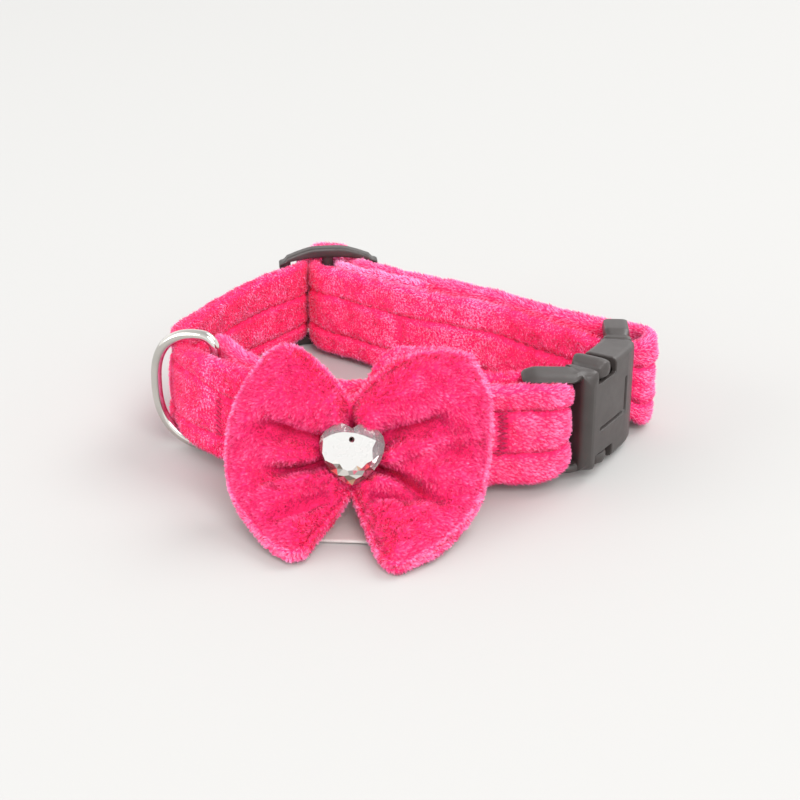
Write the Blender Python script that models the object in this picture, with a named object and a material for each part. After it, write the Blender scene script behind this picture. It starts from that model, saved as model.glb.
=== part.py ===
"""Small pet collar standing on its lower edge, fastened into a closed loop.

One velvet-covered strap runs from its sewn end at the slider, round the male buckle's bar,
back through the slider, round the left side, through the D-ring, along the front and round
the female buckle's bar, and ends inside the loop behind the D-ring. A velvet bow with a
faceted crystal heart is sewn to the front, with a bare satin label below it.
Plan directions: +X is the wearer's right side seen from the front, -Y is the front, +Z is up.
"""

import math

import bmesh
import bpy
import numpy as np
from mathutils import Matrix, Vector

MM = 0.001
GAP = 0.3  # clearance between touching pieces, in mm as every size below

# Strap
STRAP_THICK = 4.2
STRAP_HEIGHT = 24.2
GROOVE_OFFSET = 0.18  # of the height, from the middle to each row of stitching
GROOVE_DEPTH = 0.45
STATION_STEP = 5.5
STATION_TURN = 24  # degrees

# Buckle, slider and ring
HARDWARE_BAR = 1.6  # radius of each bar that the strap turns round
BUCKLE_BASE = 1.2
BUCKLE_HEIGHT = 25.0
BUCKLE_LIFT = 1.6  # how much higher the buckle's front end stands than its back end
RAIL_HEIGHT = 2.3
SLIDER_HEIGHT = 27.0
SLIDER_HALF = 11.4  # from its middle bar to each outer bar
SLIDER_SAG = 2.2
RING_WIRE = 1.25  # radius
RING_HEIGHT = 30.6
RING_DEPTH = 18.6
RING_BASE = 0.3
RING_SWING = math.radians(158)  # the way the ring points, from +X

# Where the bars stand in plan
SLIDER_BAR = (-19.3, 38.2)
SLIDER_HEADING = math.radians(6)
RING_BAR = (-42.1, -30.0)

# Bow, crystal and label
BOW_X = -10.4
BOW_EDGE = 1.2  # half thickness at its sewn edge
HEART_WIDTH = 13.8
HEART_HEIGHT = 13.4
HEART_THICK = 6.0
HEART_TILT = math.radians(20)
HEART_HOLE = 0.65  # radius
HEART_HOLE_UP = 3.2
HEART_PLACE = (BOW_X + 0.3, -64.7, 17.8)
LABEL_THICK = 0.8
LABEL_WIDTH = 34.0
LABEL_LEFT = -23.2
LABEL_TURN = math.radians(-5)
LABEL_BEND = 0.0114  # how the sewn edge follows the strap's curve, per mm

COLOURS = {
    "velvet": ((0.87, 0.035, 0.235), 0.9, 0.0),
    "plastic": ((0.022, 0.021, 0.022), 0.42, 0.0),
    "metal": ((0.78, 0.77, 0.74), 0.16, 1.0),
    "crystal": ((0.93, 0.94, 0.96), 0.03, 0.0),
    "satin": ((0.74, 0.68, 0.68), 0.45, 0.0),
}


# ---------------------------------------------------------------- scene and materials
def clear_scene():
    for item in list(bpy.data.objects):
        bpy.data.objects.remove(item, do_unlink=True)


def new_collection(name):
    made = bpy.data.collections.new(name)
    bpy.context.scene.collection.children.link(made)
    return made


def new_material(name):
    colour, roughness, metallic = COLOURS[name]
    made = bpy.data.materials.new(name)
    made.use_nodes = True
    shader = made.node_tree.nodes["Principled BSDF"]
    shader.inputs["Base Color"].default_value = (*colour, 1.0)
    shader.inputs["Roughness"].default_value = roughness
    shader.inputs["Metallic"].default_value = metallic
    return made


def add_object(name, data, collection, material):
    made = bpy.data.objects.new(name, data)
    collection.objects.link(made)
    if material:
        data.materials.append(material)
    return made


def mesh_from(name, bm):
    """A mesh in metres from a bmesh in millimetres, with its faces turned outwards."""
    bmesh.ops.recalc_face_normals(bm, faces=bm.faces)
    bmesh.ops.scale(bm, vec=(MM, MM, MM), verts=bm.verts)
    mesh = bpy.data.meshes.new(name)
    bm.to_mesh(mesh)
    bm.free()
    return mesh


def loft(rings, closed_ends=True, cyclic=False):
    """A bmesh skin over rings of equal length, each a closed loop of points."""
    bm = bmesh.new()
    rows = [[bm.verts.new(point) for point in ring] for ring in rings]
    pairs = list(zip(rows, rows[1:]))
    if cyclic:
        pairs.append((rows[-1], rows[0]))
    for low, high in pairs:
        for i, vert in enumerate(low):
            j = (i + 1) % len(low)
            bm.faces.new((vert, low[j], high[j], high[i]))
    if closed_ends and not cyclic:
        bm.faces.new(rows[0])
        bm.faces.new(rows[-1])
    return bm


def combine(target, other, operation, cutters):
    """A Boolean on target whose other shape is kept as a hidden helper."""
    for held in list(other.users_collection):
        held.objects.unlink(other)
    cutters.objects.link(other)
    other.hide_render = True
    other.display_type = "WIRE"
    modifier = target.modifiers.new(operation.lower(), "BOOLEAN")
    modifier.operation = operation
    modifier.solver = "EXACT"
    modifier.object = other


def spline(points, steps):
    """Catmull-Rom curve through rows of numbers, with so many steps between each two."""
    rows = np.array(points, float)
    rows = np.vstack([2 * rows[0] - rows[1], rows, 2 * rows[-1] - rows[-2]])
    found = []
    for a, b, c, d in zip(rows, rows[1:], rows[2:], rows[3:]):
        for t in np.arange(steps) / steps:
            square = 2 * a - 5 * b + 4 * c - d
            cube = 3 * b - a - 3 * c + d
            found.append((2 * b + (c - a) * t + square * t**2 + cube * t**3) / 2)
    found.append(rows[-2])
    return np.array(found)


def even(rows, step, turn=math.inf):
    """Rows along a plan curve, no further apart than a length and a turn in degrees allow."""
    rows = np.array(rows, float)
    steps = np.diff(rows[:, :2], axis=0)
    headings = np.unwrap(np.arctan2(steps[:, 1], steps[:, 0]))
    turns = np.abs(np.gradient(headings))
    cost = np.linalg.norm(steps, axis=1) / step + turns / math.radians(turn)
    along = np.concatenate([[0.0], np.cumsum(cost)])
    wanted = np.linspace(0.0, along[-1], max(2, math.ceil(along[-1]) + 1))
    return np.column_stack([np.interp(wanted, along, column) for column in rows.T])


def from_angle(angle):
    return np.array([math.cos(angle), math.sin(angle)])


# ---------------------------------------------------------------- strap
def around(bar, radius, start, end, base, height, thick, lean=0.0, count=5):
    """Strap rows on an arc about a bar, from one angle in degrees to another."""
    rows = []
    for angle in np.radians(np.linspace(start, end, count)):
        x, y = np.array(bar) + radius * from_angle(angle)
        rows.append((x, y, base, height, thick, lean))
    return rows


def strap_route():
    """Columns: x, y, underside, height, thickness, lean towards the loop's inside in degrees."""
    tight, tall = 3.2, 20.8
    low = (SLIDER_HEIGHT - tall) / 2
    inner_loop = HARDWARE_BAR + tight / 2 + GAP
    outer_loop = inner_loop + tight + GAP
    full, squeezed = STRAP_HEIGHT, 20.0
    slot = BUCKLE_BASE + (BUCKLE_HEIGHT - squeezed) / 2
    thick = STRAP_THICK
    return [
        # sewn end, between the two long back layers
        (6.4, 17.0, 1.2, full, 3.4, 0),
        (-2.4, 22.2, 1.4, full, 3.4, 0),
        (-9.4, 27.2, 1.6, 23.6, 3.6, 0),
        (-14.2, 32.4, low, tall, tight, 0),
        *around(SLIDER_BAR, inner_loop, -20, 200, low, tall, tight, count=7),
        (-22.6, 32.6, low, tall, tight, 0),
        (-19.6, 28.0, 1.8, 23.6, 3.8, 0),
        # inner back layer, towards the buckle
        (-12.8, 23.4, 1.4, full, 3.9, 0),
        (-5.5, 18.2, 1.2, full, 3.9, 0),
        (10.1, 9.2, 1.0, full, 4.0, 0),
        (24.8, 1.6, 1.0, full, thick, 0),
        (36.6, -7.6, 1.0, 23.4, thick, 0),
        (43.4, -14.0, 1.6, 22.8, 4.0, 0),
        # through the male buckle's slot and round its bar
        (47.4, -16.3, slot, squeezed, 3.6, 0),
        (51.0, -17.6, slot, squeezed, 3.4, 0),
        (54.2, -18.0, slot, squeezed, 3.6, 0),
        (57.4, -17.3, 1.6, 22.8, 4.2, 0),
        (59.2, -14.2, 1.0, full, 4.2, 0),
        (57.2, -10.9, 1.0, full, 4.2, 0),
        (52.4, -8.5, 1.2, 23.6, 4.0, 0),
        # outer back layer, towards the slider
        (47.0, -6.0, 1.2, 23.8, 4.0, 0),
        (38.6, -0.2, 1.0, full, thick, 0),
        (25.1, 10.3, 1.0, full, thick, 0),
        (10.2, 19.8, 1.2, full, 4.0, 0),
        (-3.2, 28.4, 1.6, 23.8, 3.8, 0),
        (-9.0, 33.6, low, tall, tight, 0),
        *around(SLIDER_BAR, outer_loop, 2, 178, low, tall, tight, count=7),
        (-26.3, 33.2, low, tall, tight, 4),
        # single layer on the left
        (-29.6, 28.6, 2.0, 23.4, 3.8, 8),
        (-35.2, 23.4, 1.6, full, thick, 9),
        (-41.4, 14.6, 1.4, full, thick, 9),
        (-47.2, 2.6, 1.6, full, thick, 8),
        (-51.2, -8.0, 2.2, full, thick, 7),
        (-52.6, -15.0, 3.0, full, thick, 5),
        (-52.0, -20.5, 3.6, full, thick, 4),
        # through the D-ring
        (-50.6, -25.0, 5.0, 21.6, thick, 2),
        (-48.6, -29.6, 3.9, 23.4, thick, 2),
        (-45.0, -33.8, 3.4, full, thick, 2),
        (-39.7, -37.6, 2.9, full, thick, 4),
        # outer front layer
        (-33.4, -41.8, 2.6, full, thick, 3),
        (-26.0, -46.6, 2.4, full, thick, 2),
        (-18.0, -51.0, 2.2, full, thick, 0),
        (-9.0, -53.0, 2.1, full, thick, 0),
        (6.0, -51.8, 2.1, full, thick, 0),
        (20.0, -49.6, 2.1, full, thick, 0),
        (28.0, -48.9, 2.1, full, thick, 0),
        # round the female buckle's bar
        (33.2, -48.6, 2.8, 23.0, 3.8, 0),
        (35.8, -47.0, 4.6, 20.8, 3.6, 0),
        (36.6, -44.2, 4.9, squeezed, 3.6, 0),
        (35.6, -41.4, 4.9, squeezed, 3.6, 0),
        (33.0, -39.5, 4.2, 21.4, 3.8, 0),
        # inner front layer, back behind the D-ring
        (28.4, -39.3, 2.9, 22.8, 3.8, 0),
        (21.0, -41.6, 2.3, full, 4.0, 0),
        (8.0, -44.8, 2.2, full, 4.0, 0),
        (-6.0, -46.6, 2.2, full, 4.0, 0),
        (-16.0, -45.2, 2.3, full, 4.0, 0),
        (-24.6, -41.0, 2.4, full, 4.0, 2),
        (-32.4, -35.4, 2.6, full, 4.0, 4),
        (-36.6, -31.0, 2.9, full, 4.0, 2),
        (-39.5, -26.4, 3.1, full, 3.8, 1),
        (-42.3, -21.4, 3.1, 23.8, 3.6, 1),
    ]


def strap_section(thick, height):
    """Closed outline as (outward, up): two stitched faces with grooves, and round edges."""
    radius = thick / 2
    straight = height / 2 - radius
    groove = GROOVE_OFFSET * height
    face = [
        (0.0, -straight),
        (0.0, -(groove + straight) / 2),
        (GROOVE_DEPTH, -groove),
        (0.0, 0.0),
        (GROOVE_DEPTH, groove),
        (0.0, (groove + straight) / 2),
        (0.0, straight),
    ]
    outer = [(radius - depth, up) for depth, up in face]
    inner = [(depth - radius, up) for depth, up in reversed(face)]
    arc = np.radians([45, 90, 135])
    top = [(radius * math.cos(a), straight + radius * math.sin(a)) for a in arc]
    bottom = [(-out, -up) for out, up in top]
    return outer + top + inner + bottom


def make_strap(collection, material):
    route = even(spline(strap_route(), 12), STATION_STEP, STATION_TURN)
    ahead = np.gradient(route[:, :2], axis=0)
    rings = []
    for row, way in zip(route, ahead):
        x, y, base, height, thick, lean = row
        way = way / np.linalg.norm(way)
        # the route runs counter-clockwise seen from above on its outer layers, so this points inwards there
        side = Vector((-way[1], way[0], 0.0))
        inward = Vector((-x, -y, 0.0)).normalized()
        tilt = math.radians(lean)
        up = Vector((0.0, 0.0, math.cos(tilt))) + inward * math.sin(tilt)
        centre = Vector((x, y, base + height / 2))
        rings.append([centre + side * out + up * rise for out, rise in strap_section(thick, height)])
    return add_object("strap", mesh_from("strap", loft(rings)), collection, material)


# ---------------------------------------------------------------- buckle
BUCKLE_START = (26.2, -43.9)
# The closed buckle's curve in plan. Columns: length of the stretch, heading at its end in degrees
BUCKLE_BENDS = [(0.0, 2), (9.3, 4), (3.0, 18), (2.0, 57), (17.5, 61), (6.0, 86), (14.0, 88)]


def buckle_point(along, out, up):
    """A place so far along the closed buckle's curve, outwards from it and up."""
    x, y = BUCKLE_START
    heading = math.radians(BUCKLE_BENDS[0][1])
    left = along
    for length, turn in BUCKLE_BENDS[1:]:
        here = min(left, length)
        bend = (math.radians(turn) - heading) * here / length
        x += here * math.cos(heading + bend / 2)
        y += here * math.sin(heading + bend / 2)
        heading += bend
        left -= here
        if left <= 0:
            break
    lift = BUCKLE_LIFT * max(0.0, 1 - along / FEMALE_END)
    return Vector((x + out * math.sin(heading), y - out * math.cos(heading), up + lift))


def rounded_box_ring(out, up, corner, sides=2):
    """Closed outline as (outward, up) of a box with its four corners rounded."""
    (out_low, out_high), (up_low, up_high) = out, up
    ring = []
    for cx, cy, start in (
        (out_high - corner, up_low + corner, -90),
        (out_high - corner, up_high - corner, 0),
        (out_low + corner, up_high - corner, 90),
        (out_low + corner, up_low + corner, 180),
    ):
        for step in range(sides + 1):
            angle = math.radians(start + 90 * step / sides)
            ring.append((cx + corner * math.cos(angle), cy + corner * math.sin(angle)))
    return ring


def buckle_block(name, along, out, up, collection, material=None, corner=0.8, step=1.6, ends=0.0):
    """A rounded bar of plastic that follows the buckle's curve. `ends` shrinks its last sections."""
    start, end = along
    count = max(2, int(round((end - start) / step)) + 1)
    places = list(np.linspace(start, end, count))
    if ends:
        between = [place for place in places if start + ends < place < end - ends]
        places = [start, start + ends, *between, end - ends, end]
    rings = []
    for place in places:
        shrink = ends if ends and place in (start, end) else 0.0
        box = rounded_box_ring(
            (out[0] + shrink, out[1] - shrink), (up[0] + shrink, up[1] - shrink), corner
        )
        rings.append([buckle_point(place, o, u) for o, u in box])
    return add_object(name, mesh_from(name, loft(rings)), collection, material)


def upright_bar(name, place, radius, low, high, collection, material=None):
    bm = bmesh.new()
    bmesh.ops.create_cone(
        bm, cap_ends=True, segments=16, radius1=radius, radius2=radius, depth=high - low
    )
    bmesh.ops.translate(bm, vec=(place[0], place[1], (low + high) / 2), verts=bm.verts)
    return add_object(name, mesh_from(name, bm), collection, material)


# Stretches and places along the buckle's curve
FEMALE_RAILS = (0.6, 14.6)
FEMALE_BAR = 5.2
FEMALE_START = 13.0
FEMALE_END = 36.4  # the mouth
SOCKET_START = 15.2
WINDOW = (15.6, 24.6)
LINE_LEVEL = (17.6, 31.2)
LINE_UPRIGHT = (30.4, 31.4)
BLADE = (18.6, 37.2)
ARMS = (19.4, 37.4)
MALE_START = FEMALE_END + GAP
MALE_STEM = 38.8
MALE_RAILS = (37.6, 47.3)
MALE_BAR = 45.0
# Sizes across the curve and up
HOUSING_HALF = 4.1
WALL = 1.3
FEMALE_RAIL_HALF = 2.2
MALE_HALF = 3.4
MALE_RAIL_HALF = 2.5
SKIN = 2.2  # above and below the socket
WINDOW_DEPTH = 3.6
LINE_DEPTH = 0.5
LINE_LOW = 9.2  # above the housing's base
LINE_HIGH = 18.4
BLADE_HEIGHT = (11.0, 16.4)
ARM_HEIGHT = 2.6
GRIP_OUT = (-3.6, 3.2)
RAIL_INSET = 0.15  # keeps a rail's faces off the faces of the body that it joins
BAR_INSET = 1.0
PAST = 1.0  # how far a cutter runs past what it cuts


def rail_heights(low, high):
    """Each rail's name and its reach up, just inside the buckle's lower and upper faces."""
    return (
        ("low", (low + RAIL_INSET, low + RAIL_HEIGHT)),
        ("high", (high - RAIL_HEIGHT, high - RAIL_INSET)),
    )


def make_buckle_female(collection, cutters, material):
    low, high = BUCKLE_BASE, BUCKLE_BASE + BUCKLE_HEIGHT
    half = HOUSING_HALF
    body = buckle_block(
        "buckle_female",
        (FEMALE_START, FEMALE_END),
        (-half, half),
        (low, high),
        collection,
        material,
        corner=1.2,
        ends=0.5,
    )
    for side, up in rail_heights(low, high):
        across = (-FEMALE_RAIL_HALF, FEMALE_RAIL_HALF)
        rail = buckle_block(f"rail_{side}", FEMALE_RAILS, across, up, collection, corner=0.9, ends=0.6)
        combine(body, rail, "UNION", cutters)
    foot = buckle_point(FEMALE_BAR, 0, low + BAR_INSET)
    head = buckle_point(FEMALE_BAR, 0, high - BAR_INSET)
    bar = upright_bar("female_bar", foot, HARDWARE_BAR, foot.z, head.z, collection)
    combine(body, bar, "UNION", cutters)
    # socket for the male half, open at the mouth
    room = half - WALL
    run, inside = (SOCKET_START, FEMALE_END + 2 * PAST), (low + SKIN, high - SKIN)
    socket = buckle_block("socket", run, (-room, room), inside, collection, corner=0.6)
    combine(body, socket, "DIFFERENCE", cutters)
    # a window above and below, where the male half's grips show
    across = (-half - PAST, half + PAST)
    for side, up in (
        ("low", (low - 2 * PAST, low + WINDOW_DEPTH)),
        ("high", (high - WINDOW_DEPTH, high + 2 * PAST)),
    ):
        window = buckle_block(f"window_{side}", WINDOW, across, up, collection, corner=1.0)
        combine(body, window, "DIFFERENCE", cutters)
    # the moulded line on the outer face
    line_out = (half - LINE_DEPTH, half + PAST)
    line_width = LINE_UPRIGHT[1] - LINE_UPRIGHT[0]
    for name, run, up in (
        ("line_upright", LINE_UPRIGHT, (low + LINE_LOW + 0.2, low + LINE_HIGH)),
        ("line_level", LINE_LEVEL, (low + LINE_LOW, low + LINE_LOW + line_width)),
    ):
        line = buckle_block(name, run, line_out, up, collection, corner=0.2)
        combine(body, line, "DIFFERENCE", cutters)
    return body


def make_buckle_male(collection, cutters, material):
    low, high = BUCKLE_BASE, BUCKLE_BASE + BUCKLE_HEIGHT
    body = buckle_block(
        "buckle_male",
        (MALE_START, MALE_STEM),
        (-MALE_HALF, MALE_HALF),
        (low, high),
        collection,
        material,
        corner=1.0,
        ends=0.4,
    )
    for side, up in rail_heights(low, high):
        across = (-MALE_RAIL_HALF, MALE_RAIL_HALF)
        rail = buckle_block(f"male_rail_{side}", MALE_RAILS, across, up, collection, corner=0.9, ends=0.6)
        combine(body, rail, "UNION", cutters)
    place = buckle_point(MALE_BAR, 0, 0)
    bar = upright_bar("male_bar", place, HARDWARE_BAR, low + BAR_INSET, high - BAR_INSET, collection)
    combine(body, bar, "UNION", cutters)
    room = HOUSING_HALF - WALL - GAP
    inside = (-room, room)
    blade = buckle_block("guide_blade", BLADE, inside, BLADE_HEIGHT, collection, corner=0.8, ends=0.6)
    combine(body, blade, "UNION", cutters)
    arm_low, arm_high = low + SKIN + GAP, high - SKIN - GAP
    pad_run = (WINDOW[0] + 1.2, WINDOW[1] - 1.2)
    for side, up, grip in (
        ("low", (arm_low, arm_low + ARM_HEIGHT), (low + 0.4, low + WINDOW_DEPTH - GAP)),
        ("high", (arm_high - ARM_HEIGHT, arm_high), (high - WINDOW_DEPTH + GAP, high - 0.4)),
    ):
        limb = buckle_block(f"arm_{side}", ARMS, inside, up, collection, corner=0.7)
        combine(body, limb, "UNION", cutters)
        pad = buckle_block(f"grip_{side}", pad_run, GRIP_OUT, grip, collection, corner=1.1, ends=0.8)
        combine(body, pad, "UNION", cutters)
    return body


# ---------------------------------------------------------------- slider and ring
def slider_point(along, out, up):
    """A place on the slider, which bends gently round the corner of the loop."""
    ahead = from_angle(SLIDER_HEADING)
    outward = from_angle(SLIDER_HEADING + math.pi / 2)
    drop = SLIDER_SAG * (along / SLIDER_HALF) ** 2
    x, y = np.array(SLIDER_BAR) + ahead * along + outward * (out - drop)
    return Vector((x, y, up))


def make_slider(collection, cutters, material):
    reach = SLIDER_HALF + 1.6
    rail_half = 1.7
    rails = []
    for name, edge, inward in (("slider", 0.0, 1), ("slider_rail", SLIDER_HEIGHT, -1)):
        rings = []
        for along in np.linspace(-reach, reach, 13):
            rounding = 3.0 * max(0.0, (abs(along) - reach + 3.0) / 3.0) ** 2
            near = edge + inward * rounding * 0.8
            far = edge + inward * (2.6 + rounding * 0.5)
            box = rounded_box_ring((-rail_half, rail_half), sorted((near, far)), 0.7)
            rings.append([slider_point(along, o, u) for o, u in box])
        rails.append(add_object(name, mesh_from(name, loft(rings)), collection, material))
    body, rail = rails
    combine(body, rail, "UNION", cutters)
    for number, along in enumerate((-SLIDER_HALF, 0.0, SLIDER_HALF)):
        place = slider_point(along, 0.0, 0.0)
        bar = upright_bar(
            f"slider_bar_{number}", place, HARDWARE_BAR - 0.1, 1.6, SLIDER_HEIGHT - 1.6, collection
        )
        combine(body, bar, "UNION", cutters)
    return body


def ring_outline():
    """Centre line of the D-ring as (outward, up) about the middle of its straight bar."""
    half = RING_HEIGHT / 2 - RING_WIRE
    depth = RING_DEPTH - 2 * RING_WIRE
    corner = 3.4
    points = []
    for angle in np.radians(np.linspace(180, 90, 5)):
        points.append((corner + corner * math.cos(angle), half - corner + corner * math.sin(angle)))
    for angle in np.radians(np.linspace(76, 0, 9)):
        # a fuller curve than an ellipse, which keeps the ring's shoulders wide
        out = corner + (depth - corner) * math.cos(angle) ** (2 / 2.3)
        points.append((out, half * math.sin(angle) ** (2 / 2.5)))
    lower = [(out, -up) for out, up in reversed(points[:-1])]
    return points + lower


def make_ring(collection, material):
    """The ring's object stands at the middle of its bar, which is its hinge."""
    curve = bpy.data.curves.new("d_ring", "CURVE")
    curve.dimensions = "3D"
    curve.bevel_depth = RING_WIRE * MM
    curve.bevel_resolution = 3
    outline = ring_outline()
    wire = curve.splines.new("POLY")
    wire.points.add(len(outline) - 1)
    for point, (out, up) in zip(wire.points, outline):
        point.co = (out * MM, 0.0, up * MM, 1.0)
    wire.use_cyclic_u = True
    ring = add_object("d_ring", curve, collection, material)
    ring.location = Vector((*RING_BAR, RING_BASE + RING_HEIGHT / 2)) * MM
    ring.rotation_euler = (0.0, 0.0, RING_SWING)
    return ring


# ---------------------------------------------------------------- bow
# The sheet's middle line seen from the side. Columns: height along the sheet, y, z
BOW_PROFILE = [
    (26.0, -52.0, 39.4),
    (18.0, -55.2, 32.2),
    (10.0, -58.0, 24.8),
    (0.0, -59.4, 15.0),
    (-7.0, -63.0, 9.2),
    (-15.0, -69.2, 5.4),
    (-24.0, -77.4, 2.9),
    (-34.0, -87.0, 1.9),
]
# Outlines of each lobe as (distance from the middle, height along the sheet)
LEFT_LOBE = {
    "side": -1,
    "top": [(0.0, 11.5), (4.2, 17.2), (10.0, 22.6), (14.0, 24.0), (17.8, 22.4)],
    "rim": [
        (12.2, -28.4),
        (15.4, -26.0),
        (20.6, -19.0),
        (25.8, -8.8),
        (26.8, 3.0),
        (23.6, 13.8),
        (17.8, 22.4),
    ],
    "bottom": [(0.0, -9.0), (3.6, -16.4), (7.0, -22.2), (9.2, -27.0), (12.2, -28.4)],
}
RIGHT_LOBE = {
    "side": 1,
    "top": [(0.0, 11.5), (5.0, 16.8), (11.4, 21.2), (19.0, 22.8), (25.2, 21.6)],
    "rim": [
        (9.8, -32.8),
        (13.0, -30.6),
        (19.9, -23.4),
        (26.8, -11.6),
        (29.4, 1.0),
        (29.2, 13.0),
        (25.2, 21.6),
    ],
    "bottom": [(0.0, -9.0), (2.6, -17.4), (4.8, -24.8), (7.2, -31.0), (9.8, -32.8)],
}
# Folds pressed into the front. Columns: from x, s, to x, s, depth, half width
FOLDS = [
    (-5.0, 4.4, -19.5, 4.4, 2.2, 1.9),
    (-5.0, -3.4, -20.5, -5.4, 2.2, 1.9),
    (-3.6, -9.6, -15.6, -15.4, 1.0, 1.9),
    (5.0, 4.0, 22.0, 7.4, 1.5, 1.7),
    (5.0, -2.6, 22.0, -13.6, 2.4, 2.1),
    (4.0, -15.6, 15.0, -20.6, 1.1, 1.9),
]


def smooth_step(value):
    value = min(1.0, max(0.0, value))
    return value * value * (3 - 2 * value)


def at_share(points, share):
    """The point so far along a curve through points."""
    curve = spline(points, 8)
    steps = np.linalg.norm(np.diff(curve, axis=0), axis=1)
    along = np.concatenate([[0.0], np.cumsum(steps)])
    wanted = share * along[-1]
    return np.array([np.interp(wanted, along, column) for column in curve.T])


def lobe_point(lobe, across, rise):
    """A place inside a lobe's outline, blended from its four sides (a Coons patch)."""
    foot, head = np.array(lobe["bottom"][0]), np.array(lobe["top"][0])
    low, high = at_share(lobe["bottom"], across), at_share(lobe["top"], across)
    middle, rim = foot + (head - foot) * rise, at_share(lobe["rim"], rise)
    corners = (1 - across) * ((1 - rise) * foot + rise * head) + across * (
        (1 - rise) * np.array(lobe["rim"][0]) + rise * np.array(lobe["rim"][-1])
    )
    return (1 - rise) * low + rise * high + (1 - across) * middle + across * rim - corners


def fold_depth(x, s):
    depth = 0.0
    for x0, s0, x1, s1, deep, half in FOLDS:
        way = np.array([x1 - x0, s1 - s0])
        length = np.linalg.norm(way)
        away = np.array([x - x0, s - s0])
        along = float(away @ way) / length
        off = float(away[0] * way[1] - away[1] * way[0]) / length
        fade = smooth_step((along + 5) / 5) * smooth_step((length + 4 - along) / 9)
        depth += deep * fade * math.exp(-((off / half) ** 2))
    return depth


def bow_frame(s):
    """Point (y, z) of the side profile and its forward normal at a height along the sheet."""
    table = np.array(BOW_PROFILE)[::-1]
    curve = spline(table, 8)

    def at(height):
        return np.array([np.interp(height, curve[:, 0], column) for column in curve[:, 1:].T])

    place = at(s)
    ahead = at(s + 1) - at(s - 1)
    ahead = ahead / np.linalg.norm(ahead)
    return place, np.array([-ahead[1], ahead[0]])


def bow_layers(x, s, edge):
    """Offsets of the front and the back along the normal. `edge` is 0 on the outline, 1 inside."""
    swell = math.sqrt(edge)
    centre = math.exp(-((x / 5.0) ** 2) - ((s / 7.0) ** 2))
    front = BOW_EDGE + 2.4 * swell - 2.2 * centre * swell - fold_depth(x, s) * swell
    back = -BOW_EDGE - 1.0 * swell
    return max(front, back + 1.6), back


def make_bow(collection, material):
    steps_across, steps_up = 13, 22
    front, back = [], []
    for lobe in (LEFT_LOBE, RIGHT_LOBE):
        columns = range(steps_across, -1, -1) if lobe["side"] < 0 else range(1, steps_across + 1)
        for i in columns:
            across = i / steps_across
            front_column, back_column = [], []
            for j in range(steps_up + 1):
                rise = j / steps_up
                reach, s = lobe_point(lobe, across, rise)
                x = lobe["side"] * reach
                edge = smooth_step((1 - across) * 4.5) * smooth_step(rise * 6) * smooth_step((1 - rise) * 6)
                (y, z), (ny, nz) = bow_frame(s)
                ahead, behind = bow_layers(x, s, edge)
                front_column.append(Vector((BOW_X + x, y + ny * ahead, max(z + nz * ahead, 0.3))))
                back_column.append(Vector((BOW_X + x, y + ny * behind, max(z + nz * behind, 0.0))))
            front.append(front_column)
            back.append(back_column)
    rings = [near + far[::-1] for near, far in zip(front, back)]
    return add_object("bow", mesh_from("bow", loft(rings)), collection, material)


# ---------------------------------------------------------------- crystal and label
# Right half of the crystal's outline from its notch to its point, as shares of half its size
HEART_HALF = [
    (0.0, 0.80),
    (0.2, 0.93),
    (0.37, 0.97),
    (0.6, 0.88),
    (0.82, 0.73),
    (0.96, 0.53),
    (1.0, 0.30),
    (0.97, 0.04),
    (0.86, -0.26),
    (0.67, -0.53),
    (0.44, -0.77),
    (0.21, -0.93),
    (0.0, -1.0),
]


def heart_outline():
    """Heart one high and one wide, notch up, as (across, up) about its middle."""
    right = [(across / 2, up / 2) for across, up in HEART_HALF]
    left = [(-across, up) for across, up in reversed(right[1:-1])]
    return right + left


def make_heart(collection, cutters, material):
    """Flat table in front, two rows of facets, and a pointed back, with a hole below the notch."""
    # Columns: depth behind the front, size of the outline
    levels = [(0.0, 0.7), (0.9, 0.9), (1.9, 1.0), (2.7, 1.0), (4.6, 0.66), (6.0, 0.26)]
    outline = heart_outline()
    rings = []
    for depth, size in levels:
        ring = []
        for across, up in outline:
            forward = HEART_THICK / 2 - depth
            rise = up * HEART_HEIGHT * size
            lift = rise * math.cos(HEART_TILT) + forward * math.sin(HEART_TILT)
            back = rise * math.sin(HEART_TILT) - forward * math.cos(HEART_TILT)
            ring.append(Vector((across * HEART_WIDTH * size, back, lift)))
        rings.append(ring)
    place = Vector(HEART_PLACE)
    rings = [[point + place for point in ring] for ring in rings]
    body = add_object("heart_crystal", mesh_from("heart_crystal", loft(rings)), collection, material)
    bm = bmesh.new()
    bmesh.ops.create_cone(
        bm, cap_ends=True, segments=12, radius1=HEART_HOLE, radius2=HEART_HOLE, depth=2 * HEART_THICK
    )
    turn = Matrix.Rotation(math.pi / 2 - HEART_TILT, 4, "X")
    stand = Matrix.Translation(place) @ turn @ Matrix.Translation((0, HEART_HOLE_UP, 0))
    bmesh.ops.transform(bm, matrix=stand, verts=bm.verts)
    drill = add_object("heart_drill", mesh_from("heart_drill", bm), collection, None)
    combine(body, drill, "DIFFERENCE", cutters)
    return body


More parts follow.
